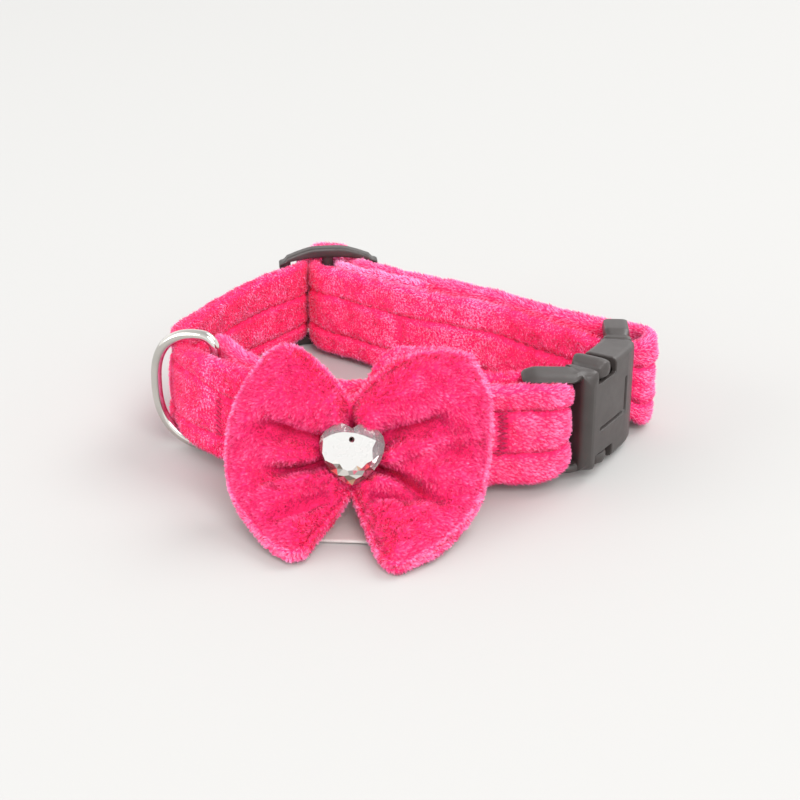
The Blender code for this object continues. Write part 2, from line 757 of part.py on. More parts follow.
def make_label(collection, material):
    """A ribbon held between the front layers, which runs under the strap and out on the table."""
    # Columns: y, z of the ribbon's middle
    route = [
        (-49.6, 9.0),
        (-49.6, 4.0),
        (-49.7, 1.9),
        (-50.7, 0.9),
        (-53.0, 0.6),
        (-62.0, 0.5),
        (-72.4, 0.5),
    ]
    middle = even(spline(route, 6), 2.5, 30)
    ahead = np.gradient(middle, axis=0)
    rings = []
    for (y, z), (dy, dz) in zip(middle, ahead):
        length = math.hypot(dy, dz)
        side = np.array([-dz, dy]) / length * LABEL_THICK / 2
        out = smooth_step((-52.0 - y) / 8)
        across = [LABEL_LEFT + LABEL_WIDTH * k / 8 for k in range(9)]
        ring = []
        for x, sign in [(x, 1) for x in across] + [(x, -1) for x in reversed(across)]:
            skew = math.tan(LABEL_TURN) * (x - BOW_X) * out
            follow = LABEL_BEND * (x + 4.0) ** 2 * (1 - out)
            ring.append(Vector((x, y + side[0] * sign + skew + follow, max(z + side[1] * sign, 0.1))))
        rings.append(ring)
    return add_object("label", mesh_from("label", loft(rings)), collection, material)


# ---------------------------------------------------------------- assembly
def centre_on_origin(pieces, holder):
    """Moves the whole collar so that the middle of its footprint is the origin."""
    bpy.context.view_layer.update()
    graph = bpy.context.evaluated_depsgraph_get()
    low, high = Vector((1.0, 1.0, 1.0)), Vector((-1.0, -1.0, -1.0))
    for piece in pieces:
        shown = piece.evaluated_get(graph)
        mesh = shown.to_mesh()
        for vert in mesh.vertices:
            place = shown.matrix_world @ vert.co
            low = Vector(map(min, low, place))
            high = Vector(map(max, high, place))
        shown.to_mesh_clear()
    holder.location = (-(low.x + high.x) / 2, -(low.y + high.y) / 2, -low.z)


def main():
    clear_scene()
    collar = new_collection("pet_collar")
    cutters = new_collection("cutters")
    velvet, plastic, metal = new_material("velvet"), new_material("plastic"), new_material("metal")
    crystal, satin = new_material("crystal"), new_material("satin")
    pieces = [
        make_strap(collar, velvet),
        make_bow(collar, velvet),
        make_heart(collar, cutters, crystal),
        make_label(collar, satin),
        make_ring(collar, metal),
        make_slider(collar, cutters, plastic),
        make_buckle_female(collar, cutters, plastic),
        make_buckle_male(collar, cutters, plastic),
    ]
    holder = bpy.data.objects.new("collar_origin", None)
    collar.objects.link(holder)
    for piece in [*pieces, *cutters.objects]:
        piece.parent = holder
    centre_on_origin(pieces, holder)


main()
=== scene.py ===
"""Looks of the small velvet pet collar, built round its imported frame.

Lengths are in millimetres on the collar's own plan and become metres in the frame at the end.
The strap's route and the bow's outline repeat the part's driving rows.
"""

import math

import bmesh
import bpy
import numpy as np
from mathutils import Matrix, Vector
from mathutils.bvhtree import BVHTree
from mathutils.geometry import delaunay_2d_cdt
from mathutils.kdtree import KDTree


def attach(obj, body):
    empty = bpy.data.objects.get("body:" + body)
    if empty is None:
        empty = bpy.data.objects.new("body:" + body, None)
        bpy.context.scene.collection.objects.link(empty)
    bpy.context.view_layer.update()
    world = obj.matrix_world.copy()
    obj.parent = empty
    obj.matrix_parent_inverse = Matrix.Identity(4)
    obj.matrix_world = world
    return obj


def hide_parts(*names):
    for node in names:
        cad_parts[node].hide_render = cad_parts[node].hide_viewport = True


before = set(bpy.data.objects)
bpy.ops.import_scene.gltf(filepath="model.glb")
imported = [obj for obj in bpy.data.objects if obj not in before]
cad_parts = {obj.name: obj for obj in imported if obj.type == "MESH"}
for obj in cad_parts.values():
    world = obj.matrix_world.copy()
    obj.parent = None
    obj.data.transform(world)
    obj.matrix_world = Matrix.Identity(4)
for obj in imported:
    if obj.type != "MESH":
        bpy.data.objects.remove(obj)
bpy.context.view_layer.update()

MM = 0.001
PLAN_SHIFT = np.array([-1.507, 19.578, 0.0])  # from the plan's origin to the middle of the footprint

# Hardware, as in the part
SLIDER_BAR = (-19.3, 38.2)
RING_BAR = (-42.1, -30.0)
RING_WIRE = 1.25
RING_HEIGHT = 30.6
RING_DEPTH = 18.6
RING_BASE = 0.3
RING_SWING = math.radians(158)
RING_LIMIT = math.radians(100)  # how far the ring_swing joint turns it from there
STRAP_THICK = 4.2
STRAP_HEIGHT = 24.2
LOWEST_CLOTH = 0.25  # the strap's and the bow's surfaces lie no nearer the table
CURVE_STEPS = 12  # points from one row of a curve's table to the next
BOW_X = -10.4
LABEL_THICK = 0.5
LABEL_WIDTH = 34.0
LABEL_LEFT = -23.2
LABEL_TURN = math.radians(-5)
LABEL_BEND = 0.0114


# ---------------------------------------------------------------- small tools
def spline(points, steps):
    """Catmull-Rom curve through rows of numbers, with so many steps between each two."""
    rows = np.array(points, float)
    rows = np.vstack([2 * rows[0] - rows[1], rows, 2 * rows[-1] - rows[-2]])
    found = []
    for a, b, c, d in zip(rows, rows[1:], rows[2:], rows[3:]):
        for t in np.arange(steps) / steps:
            square = 2 * a - 5 * b + 4 * c - d
            cube = 3 * b - a - 3 * c + d
            found.append((2 * b + (c - a) * t + square * t**2 + cube * t**3) / 2)
    found.append(rows[-2])
    return np.array(found)


def even(rows, step, turn):
    """Rows along a plan curve, no further apart than a length and a turn in degrees allow."""
    rows = np.array(rows, float)
    steps = np.diff(rows[:, :2], axis=0)
    headings = np.unwrap(np.arctan2(steps[:, 1], steps[:, 0]))
    turns = np.abs(np.gradient(headings))
    cost = np.linalg.norm(steps, axis=1) / step + turns / math.radians(turn)
    along = np.concatenate([[0.0], np.cumsum(cost)])
    wanted = np.linspace(0.0, along[-1], max(2, math.ceil(along[-1]) + 1))
    return np.column_stack([np.interp(wanted, along, column) for column in rows.T])


def unit(vectors):
    vectors = np.asarray(vectors, float)
    return vectors / np.maximum(np.linalg.norm(vectors, axis=-1, keepdims=True), 1e-12)


def bell(value, half):
    return np.exp(-((value / half) ** 2))


def smooth_step(value):
    value = np.clip(value, 0.0, 1.0)
    return value * value * (3 - 2 * value)


def ripple(places, wavelength, seed, waves=12, spread=(0.6, 1.5)):
    """Smooth noise of about unit size at rows of places, its waves spread about a wavelength."""
    rng = np.random.default_rng(seed)
    ways = unit(rng.normal(size=(waves, places.shape[1])))
    ways = ways * 2 * math.pi / wavelength * rng.uniform(*spread, (waves, 1))
    phases = rng.uniform(0, 2 * math.pi, waves)
    return np.sin(places @ ways.T + phases).sum(axis=1) / math.sqrt(waves / 2)


def uneven(places, waves):
    """Smooth noise from rows of wavelength, seed and height."""
    return sum(ripple(places, wavelength, seed) * height for wavelength, seed, height in waves)


def grid_faces(rows, columns, wrap=False):
    """Quads over a grid of points, closed round its columns if wrap."""
    i, j = np.meshgrid(np.arange(rows - 1), np.arange(columns if wrap else columns - 1), indexing="ij")
    k = (j + 1) % columns
    faces = np.stack([i * columns + j, i * columns + k, (i + 1) * columns + k, (i + 1) * columns + j], -1)
    return faces.reshape(-1, 4)


def capped_faces(rows, columns):
    """A grid's quads, closed round its columns and by a face at each end."""
    faces = grid_faces(rows, columns, wrap=True).tolist()
    faces.append(list(range(columns)))
    faces.append([(rows - 1) * columns + j for j in range(columns)][::-1])
    return faces


def to_frame(points):
    return (np.asarray(points, float) + PLAN_SHIFT) * MM


def show(name, data):
    """A new object in the scene."""
    made = bpy.data.objects.new(name, data)
    bpy.context.scene.collection.objects.link(made)
    return made


def add_mesh(name, points, faces, materials, smooth=True):
    """A new object in the frame from plan points in millimetres."""
    mesh = bpy.data.meshes.new(name)
    mesh.from_pydata(to_frame(points).tolist(), [], [list(map(int, face)) for face in faces])
    for material in materials:
        mesh.materials.append(material)
    if smooth:
        mesh.shade_smooth()
    return show(name, mesh)


def face_outwards(obj, join=0.0):
    """Turns the faces outwards, after joining points nearer than a length in metres."""
    bm = bmesh.new()
    bm.from_mesh(obj.data)
    if join:
        bmesh.ops.remove_doubles(bm, verts=bm.verts, dist=join)
    bmesh.ops.recalc_face_normals(bm, faces=bm.faces)
    bm.to_mesh(obj.data)
    bm.free()


ASKEW = [0.3, 0.5, 0.81]  # a way that no path starts along


def tube_points(path, radius, sides, closed=False):
    """Rings of points round a path of plan places, and the faces between them."""
    path = np.array(path, float)
    if closed:
        ahead = unit(np.roll(path, -1, axis=0) - np.roll(path, 1, axis=0))
    else:
        ahead = unit(np.gradient(path, axis=0))
    radii = np.broadcast_to(radius, len(path))
    normal = unit(np.cross(ahead[0], ASKEW))
    points = []
    for place, way, size in zip(path, ahead, radii):
        normal = unit(normal - way * (normal @ way))
        other = np.cross(way, normal)
        for turn in np.linspace(0, 2 * math.pi, sides, endpoint=False):
            points.append(place + size * (math.cos(turn) * normal + math.sin(turn) * other))
    faces = grid_faces(len(path), sides, wrap=True).tolist()
    if closed:
        last = (len(path) - 1) * sides
        # the last ring meets the first where their points lie nearest
        gaps = [np.linalg.norm(points[last] - points[k]) for k in range(sides)]
        turn = int(np.argmin(gaps))
        for j in range(sides):
            k = (j + 1) % sides
            faces.append([last + j, last + k, (k + turn) % sides, (j + turn) % sides])
    else:
        faces.append(list(range(sides))[::-1])
        faces.append([(len(path) - 1) * sides + j for j in range(sides)])
    return points, faces


# ---------------------------------------------------------------- materials
def set_stops(ramp, stops):
    """Fills a colour ramp with (position, (r, g, b)) stops."""
    while len(ramp.elements) < len(stops):
        ramp.elements.new(0.5)
    for element, (position, colour) in zip(ramp.elements, stops):
        element.position = position
        element.color = (*colour, 1.0)


class Nodes:
    """A material's node tree with short calls for adding and joining nodes."""

    def __init__(self, name):
        self.material = bpy.data.materials.new(name)
        self.material.use_nodes = True
        self.tree = self.material.node_tree
        self.shader = self.tree.nodes["Principled BSDF"]

    def add(self, kind, **values):
        node = self.tree.nodes.new(kind)
        for name, value in values.items():
            setattr(node, name, value)
        return node

    def link(self, source, target):
        self.tree.links.new(source, target)

    def set(self, **sockets):
        for name, value in sockets.items():
            self.shader.inputs[name.replace("_", " ")].default_value = value

    def noise(self, scale, detail=3.0, roughness=0.5):
        """Noise over the object's own coordinates, which are metres."""
        node = self.add("ShaderNodeTexNoise")
        node.inputs["Scale"].default_value = scale
        node.inputs["Detail"].default_value = detail
        node.inputs["Roughness"].default_value = roughness
        place = self.add("ShaderNodeTexCoord")
        self.link(place.outputs["Object"], node.inputs["Vector"])
        return node.outputs["Fac"]

    def ramp(self, source, stops):
        """Colour ramp; stops are (position, (r, g, b))."""
        node = self.add("ShaderNodeValToRGB")
        set_stops(node.color_ramp, stops)
        self.link(source, node.inputs["Fac"])
        return node.outputs["Color"]

    def mix(self, share, first, second):
        node = self.add("ShaderNodeMix", data_type="RGBA")
        self.link(share, node.inputs["Factor"])
        for socket, value in (("A", first), ("B", second)):
            target = [s for s in node.inputs if s.name == socket and s.type == "RGBA"][0]
            if isinstance(value, tuple):
                target.default_value = (*value, 1.0)
            else:
                self.link(value, target)
        return [s for s in node.outputs if s.type == "RGBA"][0]

    def colour(self, grain, stops):
        """Colours the surface by a ramp over noise. Grain is its scale, detail and roughness."""
        self.link(self.ramp(self.noise(*grain), stops), self.shader.inputs["Base Color"])

    def roughen(self, grain, low, high):
        """Varies the surface's roughness from low to high over noise."""
        self.link(self.spread(self.noise(*grain), low, high), self.shader.inputs["Roughness"])

    def spread(self, source, low, high):
        """Maps 0 to 1 onto low to high."""
        node = self.add("ShaderNodeMapRange")
        node.inputs["To Min"].default_value = low
        node.inputs["To Max"].default_value = high
        self.link(source, node.inputs["Value"])
        return node.outputs["Result"]

    def bump(self, source, strength, distance):
        node = self.add("ShaderNodeBump")
        node.inputs["Strength"].default_value = strength
        node.inputs["Distance"].default_value = distance
        self.link(source, node.inputs["Height"])
        self.link(node.outputs["Normal"], self.shader.inputs["Normal"])


def velvet_ground():
    """The cloth that shows between the fibres."""
    made = Nodes("velvet_ground")
    stops = [(0.3, (0.80, 0.014, 0.115)), (0.6, (0.94, 0.030, 0.175)), (0.8, (1.0, 0.055, 0.240))]
    made.colour((900.0, 4.0, 0.6), stops)
    made.set(Roughness=0.9, Specular_IOR_Level=0.1, Sheen_Weight=0.2, Sheen_Roughness=0.5)
    made.set(Sheen_Tint=(1.0, 0.45, 0.65, 1.0))
    made.bump(made.noise(2600.0, 3.0, 0.6), 0.6, 0.0003)
    return made.material


def velvet_pile():
    """Fibres. The pile attribute holds each one's tone, which carries painted light and shade, and the
    height along it.
    """
    made = Nodes("velvet_pile")
    held = made.add("ShaderNodeAttribute", attribute_name="pile")
    parts = made.add("ShaderNodeSeparateColor")
    made.link(held.outputs["Color"], parts.inputs["Color"])
    # painted shade and light: each fibre is darker at its root and paler at its tip
    low = made.ramp(
        parts.outputs["Red"],
        [(0.0, (0.62, 0.010, 0.088)), (0.4, (0.90, 0.032, 0.170)), (1.0, (1.0, 0.190, 0.460))],
    )
    high = made.ramp(
        parts.outputs["Red"],
        [(0.0, (0.66, 0.022, 0.125)), (0.4, (1.0, 0.110, 0.315)), (1.0, (1.0, 0.470, 0.760))],
    )
    made.link(made.mix(parts.outputs["Green"], low, high), made.shader.inputs["Base Color"])
    made.set(Roughness=0.8, Specular_IOR_Level=0.1, Sheen_Weight=0.25, Sheen_Roughness=0.4)
    made.set(Sheen_Tint=(1.0, 0.55, 0.75, 1.0))
    return made.material


def moulded_plastic():
    made = Nodes("moulded_plastic")
    made.colour((160.0, 4.0), [(0.3, (0.034, 0.028, 0.026)), (0.7, (0.047, 0.039, 0.037))])
    made.roughen((500.0, 4.0), 0.34, 0.48)
    made.set(Specular_IOR_Level=0.5)
    made.bump(made.noise(5200.0, 2.0), 0.18, 0.00005)
    return made.material


def polished_metal():
    made = Nodes("polished_metal")
    made.colour((120.0, 3.0), [(0.3, (0.52, 0.50, 0.47)), (0.7, (0.64, 0.62, 0.58))])
    made.roughen((900.0, 4.0, 0.7), 0.06, 0.16)
    made.set(Metallic=1.0)
    return made.material


def satin_ribbon():
    """Fine weave across the ribbon, with a soft shine."""
    made = Nodes("satin_ribbon")
    place = made.add("ShaderNodeTexCoord")
    weave = made.add("ShaderNodeTexWave", bands_direction="X")
    weave.inputs["Scale"].default_value = 900.0
    weave.inputs["Distortion"].default_value = 0.6
    made.link(place.outputs["Object"], weave.inputs["Vector"])
    shade = made.mix(made.noise(300.0, 4.0), (0.50, 0.465, 0.445), (0.62, 0.58, 0.56))
    made.link(shade, made.shader.inputs["Base Color"])
    made.set(Roughness=0.42, Sheen_Weight=0.3)
    made.bump(weave.outputs["Fac"], 0.25, 0.00006)
    return made.material


def thread_material():
    made = Nodes("thread")
    made.colour((2500.0, 2.0), [(0.3, (0.38, 0.010, 0.070)), (0.7, (0.68, 0.040, 0.150))])
    made.set(Roughness=0.6)
    return made.material


# ---------------------------------------------------------------- strap
BEHIND = 0.8  # the strap starts to count as behind a bar where twice the angle's sine is this


def around(bar, radius, start, end, base, height, thick, lean=0.0, count=5, rise=0.0):
    """Strap rows on an arc about a bar, from one angle in degrees to another, taller behind it."""
    rows = []
    for angle in np.radians(np.linspace(start, end, count)):
        x, y = np.array(bar) + radius * np.array([math.cos(angle), math.sin(angle)])
        behind = smooth_step(2 * math.sin(angle) - BEHIND)
        rows.append((x, y, base, height + rise * behind, thick, lean))
    return rows


def strap_route():
    """Columns: x, y, underside, height, thickness, lean towards the loop's inside in degrees."""
    tight, tall, low = 3.2, 20.8, 3.1
    full, squeezed, slot, thick = STRAP_HEIGHT, 20.0, 3.7, STRAP_THICK
    return [
        (6.4, 17.0, 1.2, full, 3.4, 0),
        (-2.4, 22.2, 1.4, full, 3.4, 0),
        (-9.4, 27.2, 1.4, 23.9, 3.6, 0),
        (-14.2, 32.4, 2.0, 22.6, tight, 0),
        *around(SLIDER_BAR, 3.5, -20, 200, low, tall, tight, count=7),
        (-22.6, 32.6, 2.0, 22.6, tight, 0),
        (-19.6, 28.0, 1.4, 23.9, 3.8, 0),
        (-12.8, 23.4, 1.4, full, 3.9, 0),
        (-5.5, 18.2, 1.2, full, 3.9, 0),
        (10.1, 9.2, 1.0, full, 4.0, 0),
        (24.8, 1.6, 1.0, full, thick, 0),
        (36.6, -7.6, 1.0, 23.4, thick, 0),
        (43.4, -14.0, 1.6, 22.8, 4.0, 0),
        (47.4, -16.3, slot, squeezed, 3.6, 0),
        (51.0, -17.6, slot, squeezed, 3.4, 0),
        (54.2, -18.0, slot, squeezed, 3.6, 0),
        (57.4, -17.3, 1.6, 22.8, 4.2, 0),
        (59.2, -14.2, 1.0, full, 4.2, 0),
        (57.2, -10.9, 1.0, full, 4.2, 0),
        (52.4, -8.5, 1.2, 23.6, 4.0, 0),
        (47.0, -6.0, 1.2, 23.8, 4.0, 0),
        (38.6, -0.2, 1.0, full, thick, 0),
        (25.1, 10.3, 1.0, full, thick, 0),
        (10.2, 19.8, 1.2, full, 4.0, 0),
        (-3.2, 28.4, 1.6, 23.8, 3.8, 0),
        (-9.0, 33.6, 2.4, 22.6, tight, 0),
        *around(SLIDER_BAR, 7.0, 2, 178, low, tall, tight, count=7, rise=1.9),
        (-26.3, 33.2, 2.4, 22.8, tight, 4),
        (-29.6, 28.6, 1.8, 23.9, 3.8, 8),
        (-35.2, 23.4, 1.6, full, thick, 9),
        (-41.4, 14.6, 1.4, full, thick, 9),
        (-47.2, 2.6, 1.6, full, thick, 8),
        (-51.2, -8.0, 2.2, full, thick, 7),
        (-52.6, -15.0, 3.0, full, thick, 5),
        (-52.0, -20.5, 3.6, full, thick, 4),
        (-50.6, -25.0, 5.0, 21.6, thick, 2),
        (-48.6, -29.6, 3.9, 23.4, thick, 2),
        (-45.0, -33.8, 3.4, full, thick, 2),
        (-39.7, -37.6, 2.9, full, thick, 4),
        (-33.4, -41.8, 2.6, full, thick, 3),
        (-26.0, -46.6, 2.4, full, thick, 2),
        (-18.0, -51.0, 2.2, full, thick, 0),
        (-9.0, -53.0, 2.1, full, thick, 0),
        (6.0, -51.8, 2.1, full, thick, 0),
        (20.0, -49.6, 2.1, 24.4, thick, 0),
        (28.0, -48.9, 2.1, 24.9, thick, 0),
        (33.2, -48.6, 2.8, 23.9, 3.8, 0),
        (35.8, -47.0, 4.5, 21.5, 3.6, 0),
        (36.6, -44.2, 4.9, squeezed, 3.6, 0),
        (35.6, -41.4, 4.9, squeezed, 3.6, 0),
        (33.0, -39.5, 4.2, 21.4, 3.8, 0),
        (28.4, -39.3, 2.9, 22.8, 3.8, 0),
        (21.0, -41.6, 2.3, full, 4.0, 0),
        (8.0, -44.8, 2.2, full, 4.0, 0),
        (-6.0, -46.6, 2.2, full, 4.0, 0),
        (-16.0, -45.2, 2.3, full, 4.0, 0),
        (-24.6, -41.0, 2.4, full, 4.0, 2),
        (-32.4, -35.4, 2.6, full, 4.0, 4),
        (-36.6, -31.0, 2.9, full, 4.0, 2),
        (-39.5, -26.4, 3.1, full, 3.8, 1),
        (-42.3, -21.4, 3.1, 23.8, 3.6, 1),
    ]


# Where the two rows of stitching run. Columns: along the strap, upper and lower row as shares of the height
STITCH_ROWS = [
    (0, 0.17, -0.22),
    (60, 0.18, -0.24),
    (120, 0.17, -0.24),
    (240, 0.15, -0.25),
    (275, 0.07, -0.33),
    (300, 0.11, -0.31),
    (333, 0.28, -0.28),
    (341, 0.28, -0.26),
    (346, 0.21, -0.25),
    (350, 0.17, -0.25),
    (380, 0.20, -0.20),
    (414, 0.25, -0.15),
    (422, 0.25, -0.17),
    (436, 0.22, -0.18),
    (525, 0.18, -0.20),
]
# Seams across the strap. Columns: along, side that it shows on, from and to as shares of the height
CROSS_SEAMS = [
    (78.3, -1, -0.50, 0.18),
    (348.0, -1, -0.25, 0.18),
    (415.4, -1, -0.15, 0.27),
]
STRAP_STEP = 1.0
STRAP_TURN = 9  # most that the route turns from one step to the next, in degrees
STITCH_PITCH = 3.0
ROW_DEPTH = 1.15
ROW_HALF = 0.75
NEEDLE_PULL = 0.22  # share by which a row's depth rises and falls between needle holes
SEAM_HALF = 1.3
SEAM_PITCH = 2.2
SEAM_PULL = 0.2
SEAM_FADE = 0.03
SKIN_SINK = 0.32  # how far the cloth lies inside the CAD solid, for the pile to fill up again
# Uneven padding. Columns: wavelength, seed, height
STRAP_WAVES = [(12.0, 3, 0.13), (5.0, 4, 0.06)]
PAD_COUNTS = (9, 12, 9)  # steps up a face below, between and above its two rows
PAD_CROWD = 0.6  # how far the middle pad's points crowd at its rows
OUTER_CROWD = 0.5  # and the outer pads' points
# How stitching strays from its row. Columns: height, length of a wave over 2 pi, shift of the lower row
STITCH_STRAY = [(0.25, 7.0, 1), (0.15, 2.7, 2)]
ARC_POINTS = 7


def stitch_row(along, which):
    table = np.array(STITCH_ROWS, float)
    return np.interp(along, table[:, 0], table[:, 1 + which])


def stitch_wander(along, which):
    """How far a row of stitching strays from its line."""
    return sum(far * np.sin(along / length + shift * which) for far, length, shift in STITCH_STRAY)


class Strap:
    """The strap's dense surface, with where each vertex lies along and across it."""

    def __init__(self):
        route = even(spline(strap_route(), CURVE_STEPS), STRAP_STEP, STRAP_TURN)
        x, y, underside, self.heights, self.thicks, lean = route.T
        steps = np.linalg.norm(np.diff(route[:, :2], axis=0), axis=1)
        self.along = np.concatenate([[0.0], np.cumsum(steps)])
        ahead = unit(np.gradient(route[:, :2], axis=0))
        level = np.zeros(len(route))
        self.side = np.column_stack([-ahead[:, 1], ahead[:, 0], level])
        self.ahead = np.column_stack([ahead, level])
        inward = unit(np.column_stack([-x, -y, level]))
        tilt = np.radians(lean)[:, None]
        self.up = np.array([0.0, 0.0, 1.0]) * np.cos(tilt) + inward * np.sin(tilt)
        self.centre = np.column_stack([x, y, underside + self.heights / 2])
        self.build()

    def place(self, along, out, share):
        """A point at a length along the strap, out from its middle and up by a share of its height."""

        def at(table):
            return np.array([np.interp(along, self.along, column) for column in table.T])

        return at(self.centre) + at(self.side) * out + at(self.up) * share * self.height(along)

    def height(self, along):
        return float(np.interp(along, self.along, self.heights))

    def thick(self, along):
        return float(np.interp(along, self.along, self.thicks))

    def face_shares(self):
        """Heights up a flat face, closer together beside the rows of stitching."""
        height, thick = self.heights, self.thicks
        top = (height - thick) / 2 / height
        marks = [-top, stitch_row(self.along, 1), stitch_row(self.along, 0), top]
        shares = []
        for low, high, count in zip(marks, marks[1:], PAD_COUNTS):
            step = np.arange(count) / count
            # the outer pads crowd their points at the row only
            if low is marks[0]:
                step = np.sin(step * math.pi / 2) * OUTER_CROWD + step * (1 - OUTER_CROWD)
            elif high is marks[-1]:
                step = (1 - np.cos(step * math.pi / 2)) * OUTER_CROWD + step * (1 - OUTER_CROWD)
            else:
                step = step - np.sin(2 * math.pi * step) / (2 * math.pi) * PAD_CROWD
            shares.append(low[:, None] + (high - low)[:, None] * step)
        shares.append(marks[-1][:, None])
        return np.hstack(shares)

    def build(self):
        count = len(self.along)
        height, thick = self.heights[:, None], self.thicks[:, None]
        radius = thick / 2
        straight = height / 2 - radius
        face = self.face_shares() * height
        arc = np.linspace(0, math.pi, ARC_POINTS + 2)[1:-1][None, :]
        ones = np.ones_like(face)
        bulge, climb = radius * np.cos(arc), radius * np.sin(arc)
        out = np.hstack([radius * ones, bulge, -radius * ones, -bulge])
        up = np.hstack([face, straight + climb, face[:, ::-1], -straight - climb])
        flat = np.hstack([ones, np.zeros((count, ARC_POINTS)), -ones, np.zeros((count, ARC_POINTS))])
        share = up / height
        way_out = np.where(flat != 0, flat, out / radius)
        way_up = np.where(flat != 0, 0.0, (up - np.sign(up) * straight) / radius)
        along = np.repeat(self.along[:, None], out.shape[1], axis=1)
        # rows of stitching pull both faces in, most at each needle hole
        dent = 1 - NEEDLE_PULL + NEEDLE_PULL * np.cos(2 * math.pi * along / STITCH_PITCH)
        groove = np.zeros_like(out)
        for which in (0, 1):
            row = stitch_row(self.along, which)[:, None]
            stray = (share - row) * height - stitch_wander(along, which)
            groove = np.maximum(groove, bell(stray, ROW_HALF) * dent)
        for place, side, low, high in CROSS_SEAMS:
            reach = smooth_step((share - low) / SEAM_FADE) * smooth_step((high - share) / SEAM_FADE)
            across = bell(along - place, SEAM_HALF) * reach * (flat == side)
            pulled = 1 - SEAM_PULL + SEAM_PULL * np.cos(2 * math.pi * up / SEAM_PITCH)
            groove = np.maximum(groove, across * pulled)
        base = (
            self.centre[:, None, :]
            + self.side[:, None, :] * out[..., None]
            + self.up[:, None, :] * up[..., None]
        )
        normal = self.side[:, None, :] * way_out[..., None] + self.up[:, None, :] * way_up[..., None]
        swell = uneven(base.reshape(-1, 3), STRAP_WAVES).reshape(out.shape)
        move = swell - SKIN_SINK - ROW_DEPTH * groove
        points = base + normal * move[..., None]
        points[..., 2] = np.maximum(points[..., 2], LOWEST_CLOTH)
        self.points = points.reshape(-1, 3)
        self.groove = groove.reshape(-1)
        self.along_points = along.reshape(-1)
        self.side_points = flat.reshape(-1)
        self.columns = out.shape[1]
        self.faces = capped_faces(count, self.columns)
        self.nap = np.repeat(self.ahead[:, None, :], self.columns, axis=1).reshape(-1, 3)


# Zigzag bartacks. Columns: along, side it shows on, from and to as shares of the height, half width
BARTACKS = [
    (348.3, -1, -0.24, 0.16, 0.7),
    (415.4, -1, -0.17, 0.27, 1.1),
    (415.2, -1, -0.12, 0.24, 0.6),
]
THREAD_SIDES = 5
STITCH_RADIUS = 0.16
STITCH_GAP = 0.3  # left free at each end of a stitch
STITCH_DIPS = (0.35, 0.0, 0.0, 0.35)  # how deep the thread lies along one stitch
STITCH_SHARE = 0.8  # share of the row's depth at which it lies
STITCH_LEAST = 0.3  # least distance from the strap's middle
STITCH_MARGINS = (2.0, 3.0)  # left bare at the strap's two ends
TACK_RADIUS = 0.17
TACK_STEP = 0.55  # up the strap from one corner of a zigzag to the next
TACK_SINK = 0.55
TACK_LEAST = 4  # corners of the shortest zigzag


def make_threads(strap, material):
    """Stitches sunk along every row, and the zigzags across the strap."""
    points, faces = [], []

    def sew(path, radius):
        tube, sides = tube_points(path, radius, THREAD_SIDES)
        start = len(points)
        points.extend(tube)
        faces.extend([[start + k for k in side] for side in sides])

    first, last = STITCH_MARGINS[0], float(strap.along[-1]) - STITCH_MARGINS[1]
    for which in (0, 1):
        for start in np.arange(first, last, STITCH_PITCH):
            for side in (-1, 1):
                path = []
                steps = np.linspace(STITCH_GAP, STITCH_PITCH - STITCH_GAP, len(STITCH_DIPS))
                for step, dip in zip(steps, STITCH_DIPS):
                    here = start + step
                    share = float(stitch_row(here, which)) + stitch_wander(here, which) / strap.height(here)
                    out = strap.thick(here) / 2 - SKIN_SINK - ROW_DEPTH * STITCH_SHARE - dip
                    path.append(strap.place(here, side * max(out, STITCH_LEAST), share))
                sew(path, STITCH_RADIUS)
    for place, side, low, high, half in BARTACKS:
        count = max(TACK_LEAST, int((high - low) * strap.height(place) / TACK_STEP))
        path = []
        for k, share in enumerate(np.linspace(low, high, count)):
            here = place + half * (1 if k % 2 else -1)
            out = strap.thick(here) / 2 - TACK_SINK
            path.append(strap.place(here, side * out, share))
        sew(path, TACK_RADIUS)
    return add_mesh("strap_threads", points, faces, [material])


# ---------------------------------------------------------------- bow
# The sheet's middle line seen from the side. Columns: height along the sheet, y, z
BOW_PROFILE = [
    (26.0, -52.0, 39.4),
    (18.0, -55.2, 32.2),
    (10.0, -58.0, 24.8),
    (0.0, -59.4, 15.0),
    (-7.0, -63.0, 9.2),
    (-15.0, -69.2, 5.4),
    (-24.0, -77.4, 2.9),
    (-34.0, -87.0, 1.9),
]
# Outlines of each lobe as (distance from the middle, height along the sheet)
LEFT_LOBE = {
    "side": -1,
    "top": [(0.0, 11.5), (4.2, 17.2), (10.0, 22.6), (14.0, 24.0), (17.8, 22.4)],
    "rim": [
        (12.2, -28.4), (15.4, -26.0), (20.6, -19.0), (25.8, -8.8), (26.8, 3.0), (23.6, 13.8),
        (17.8, 22.4),
    ],
    "bottom": [(0.0, -9.0), (3.6, -16.4), (7.0, -22.2), (9.2, -27.0), (12.2, -28.4)],
}
RIGHT_LOBE = {
    "side": 1,
    "top": [(0.0, 11.5), (5.0, 16.8), (11.4, 21.2), (19.0, 22.8), (25.2, 21.6)],
    "rim": [
        (9.8, -32.8), (13.0, -30.6), (19.9, -23.4), (26.8, -11.6), (29.4, 1.0), (29.2, 13.0),
        (25.2, 21.6),
    ],
    "bottom": [(0.0, -9.0), (2.6, -17.4), (4.8, -24.8), (7.2, -31.0), (9.8, -32.8)],
}
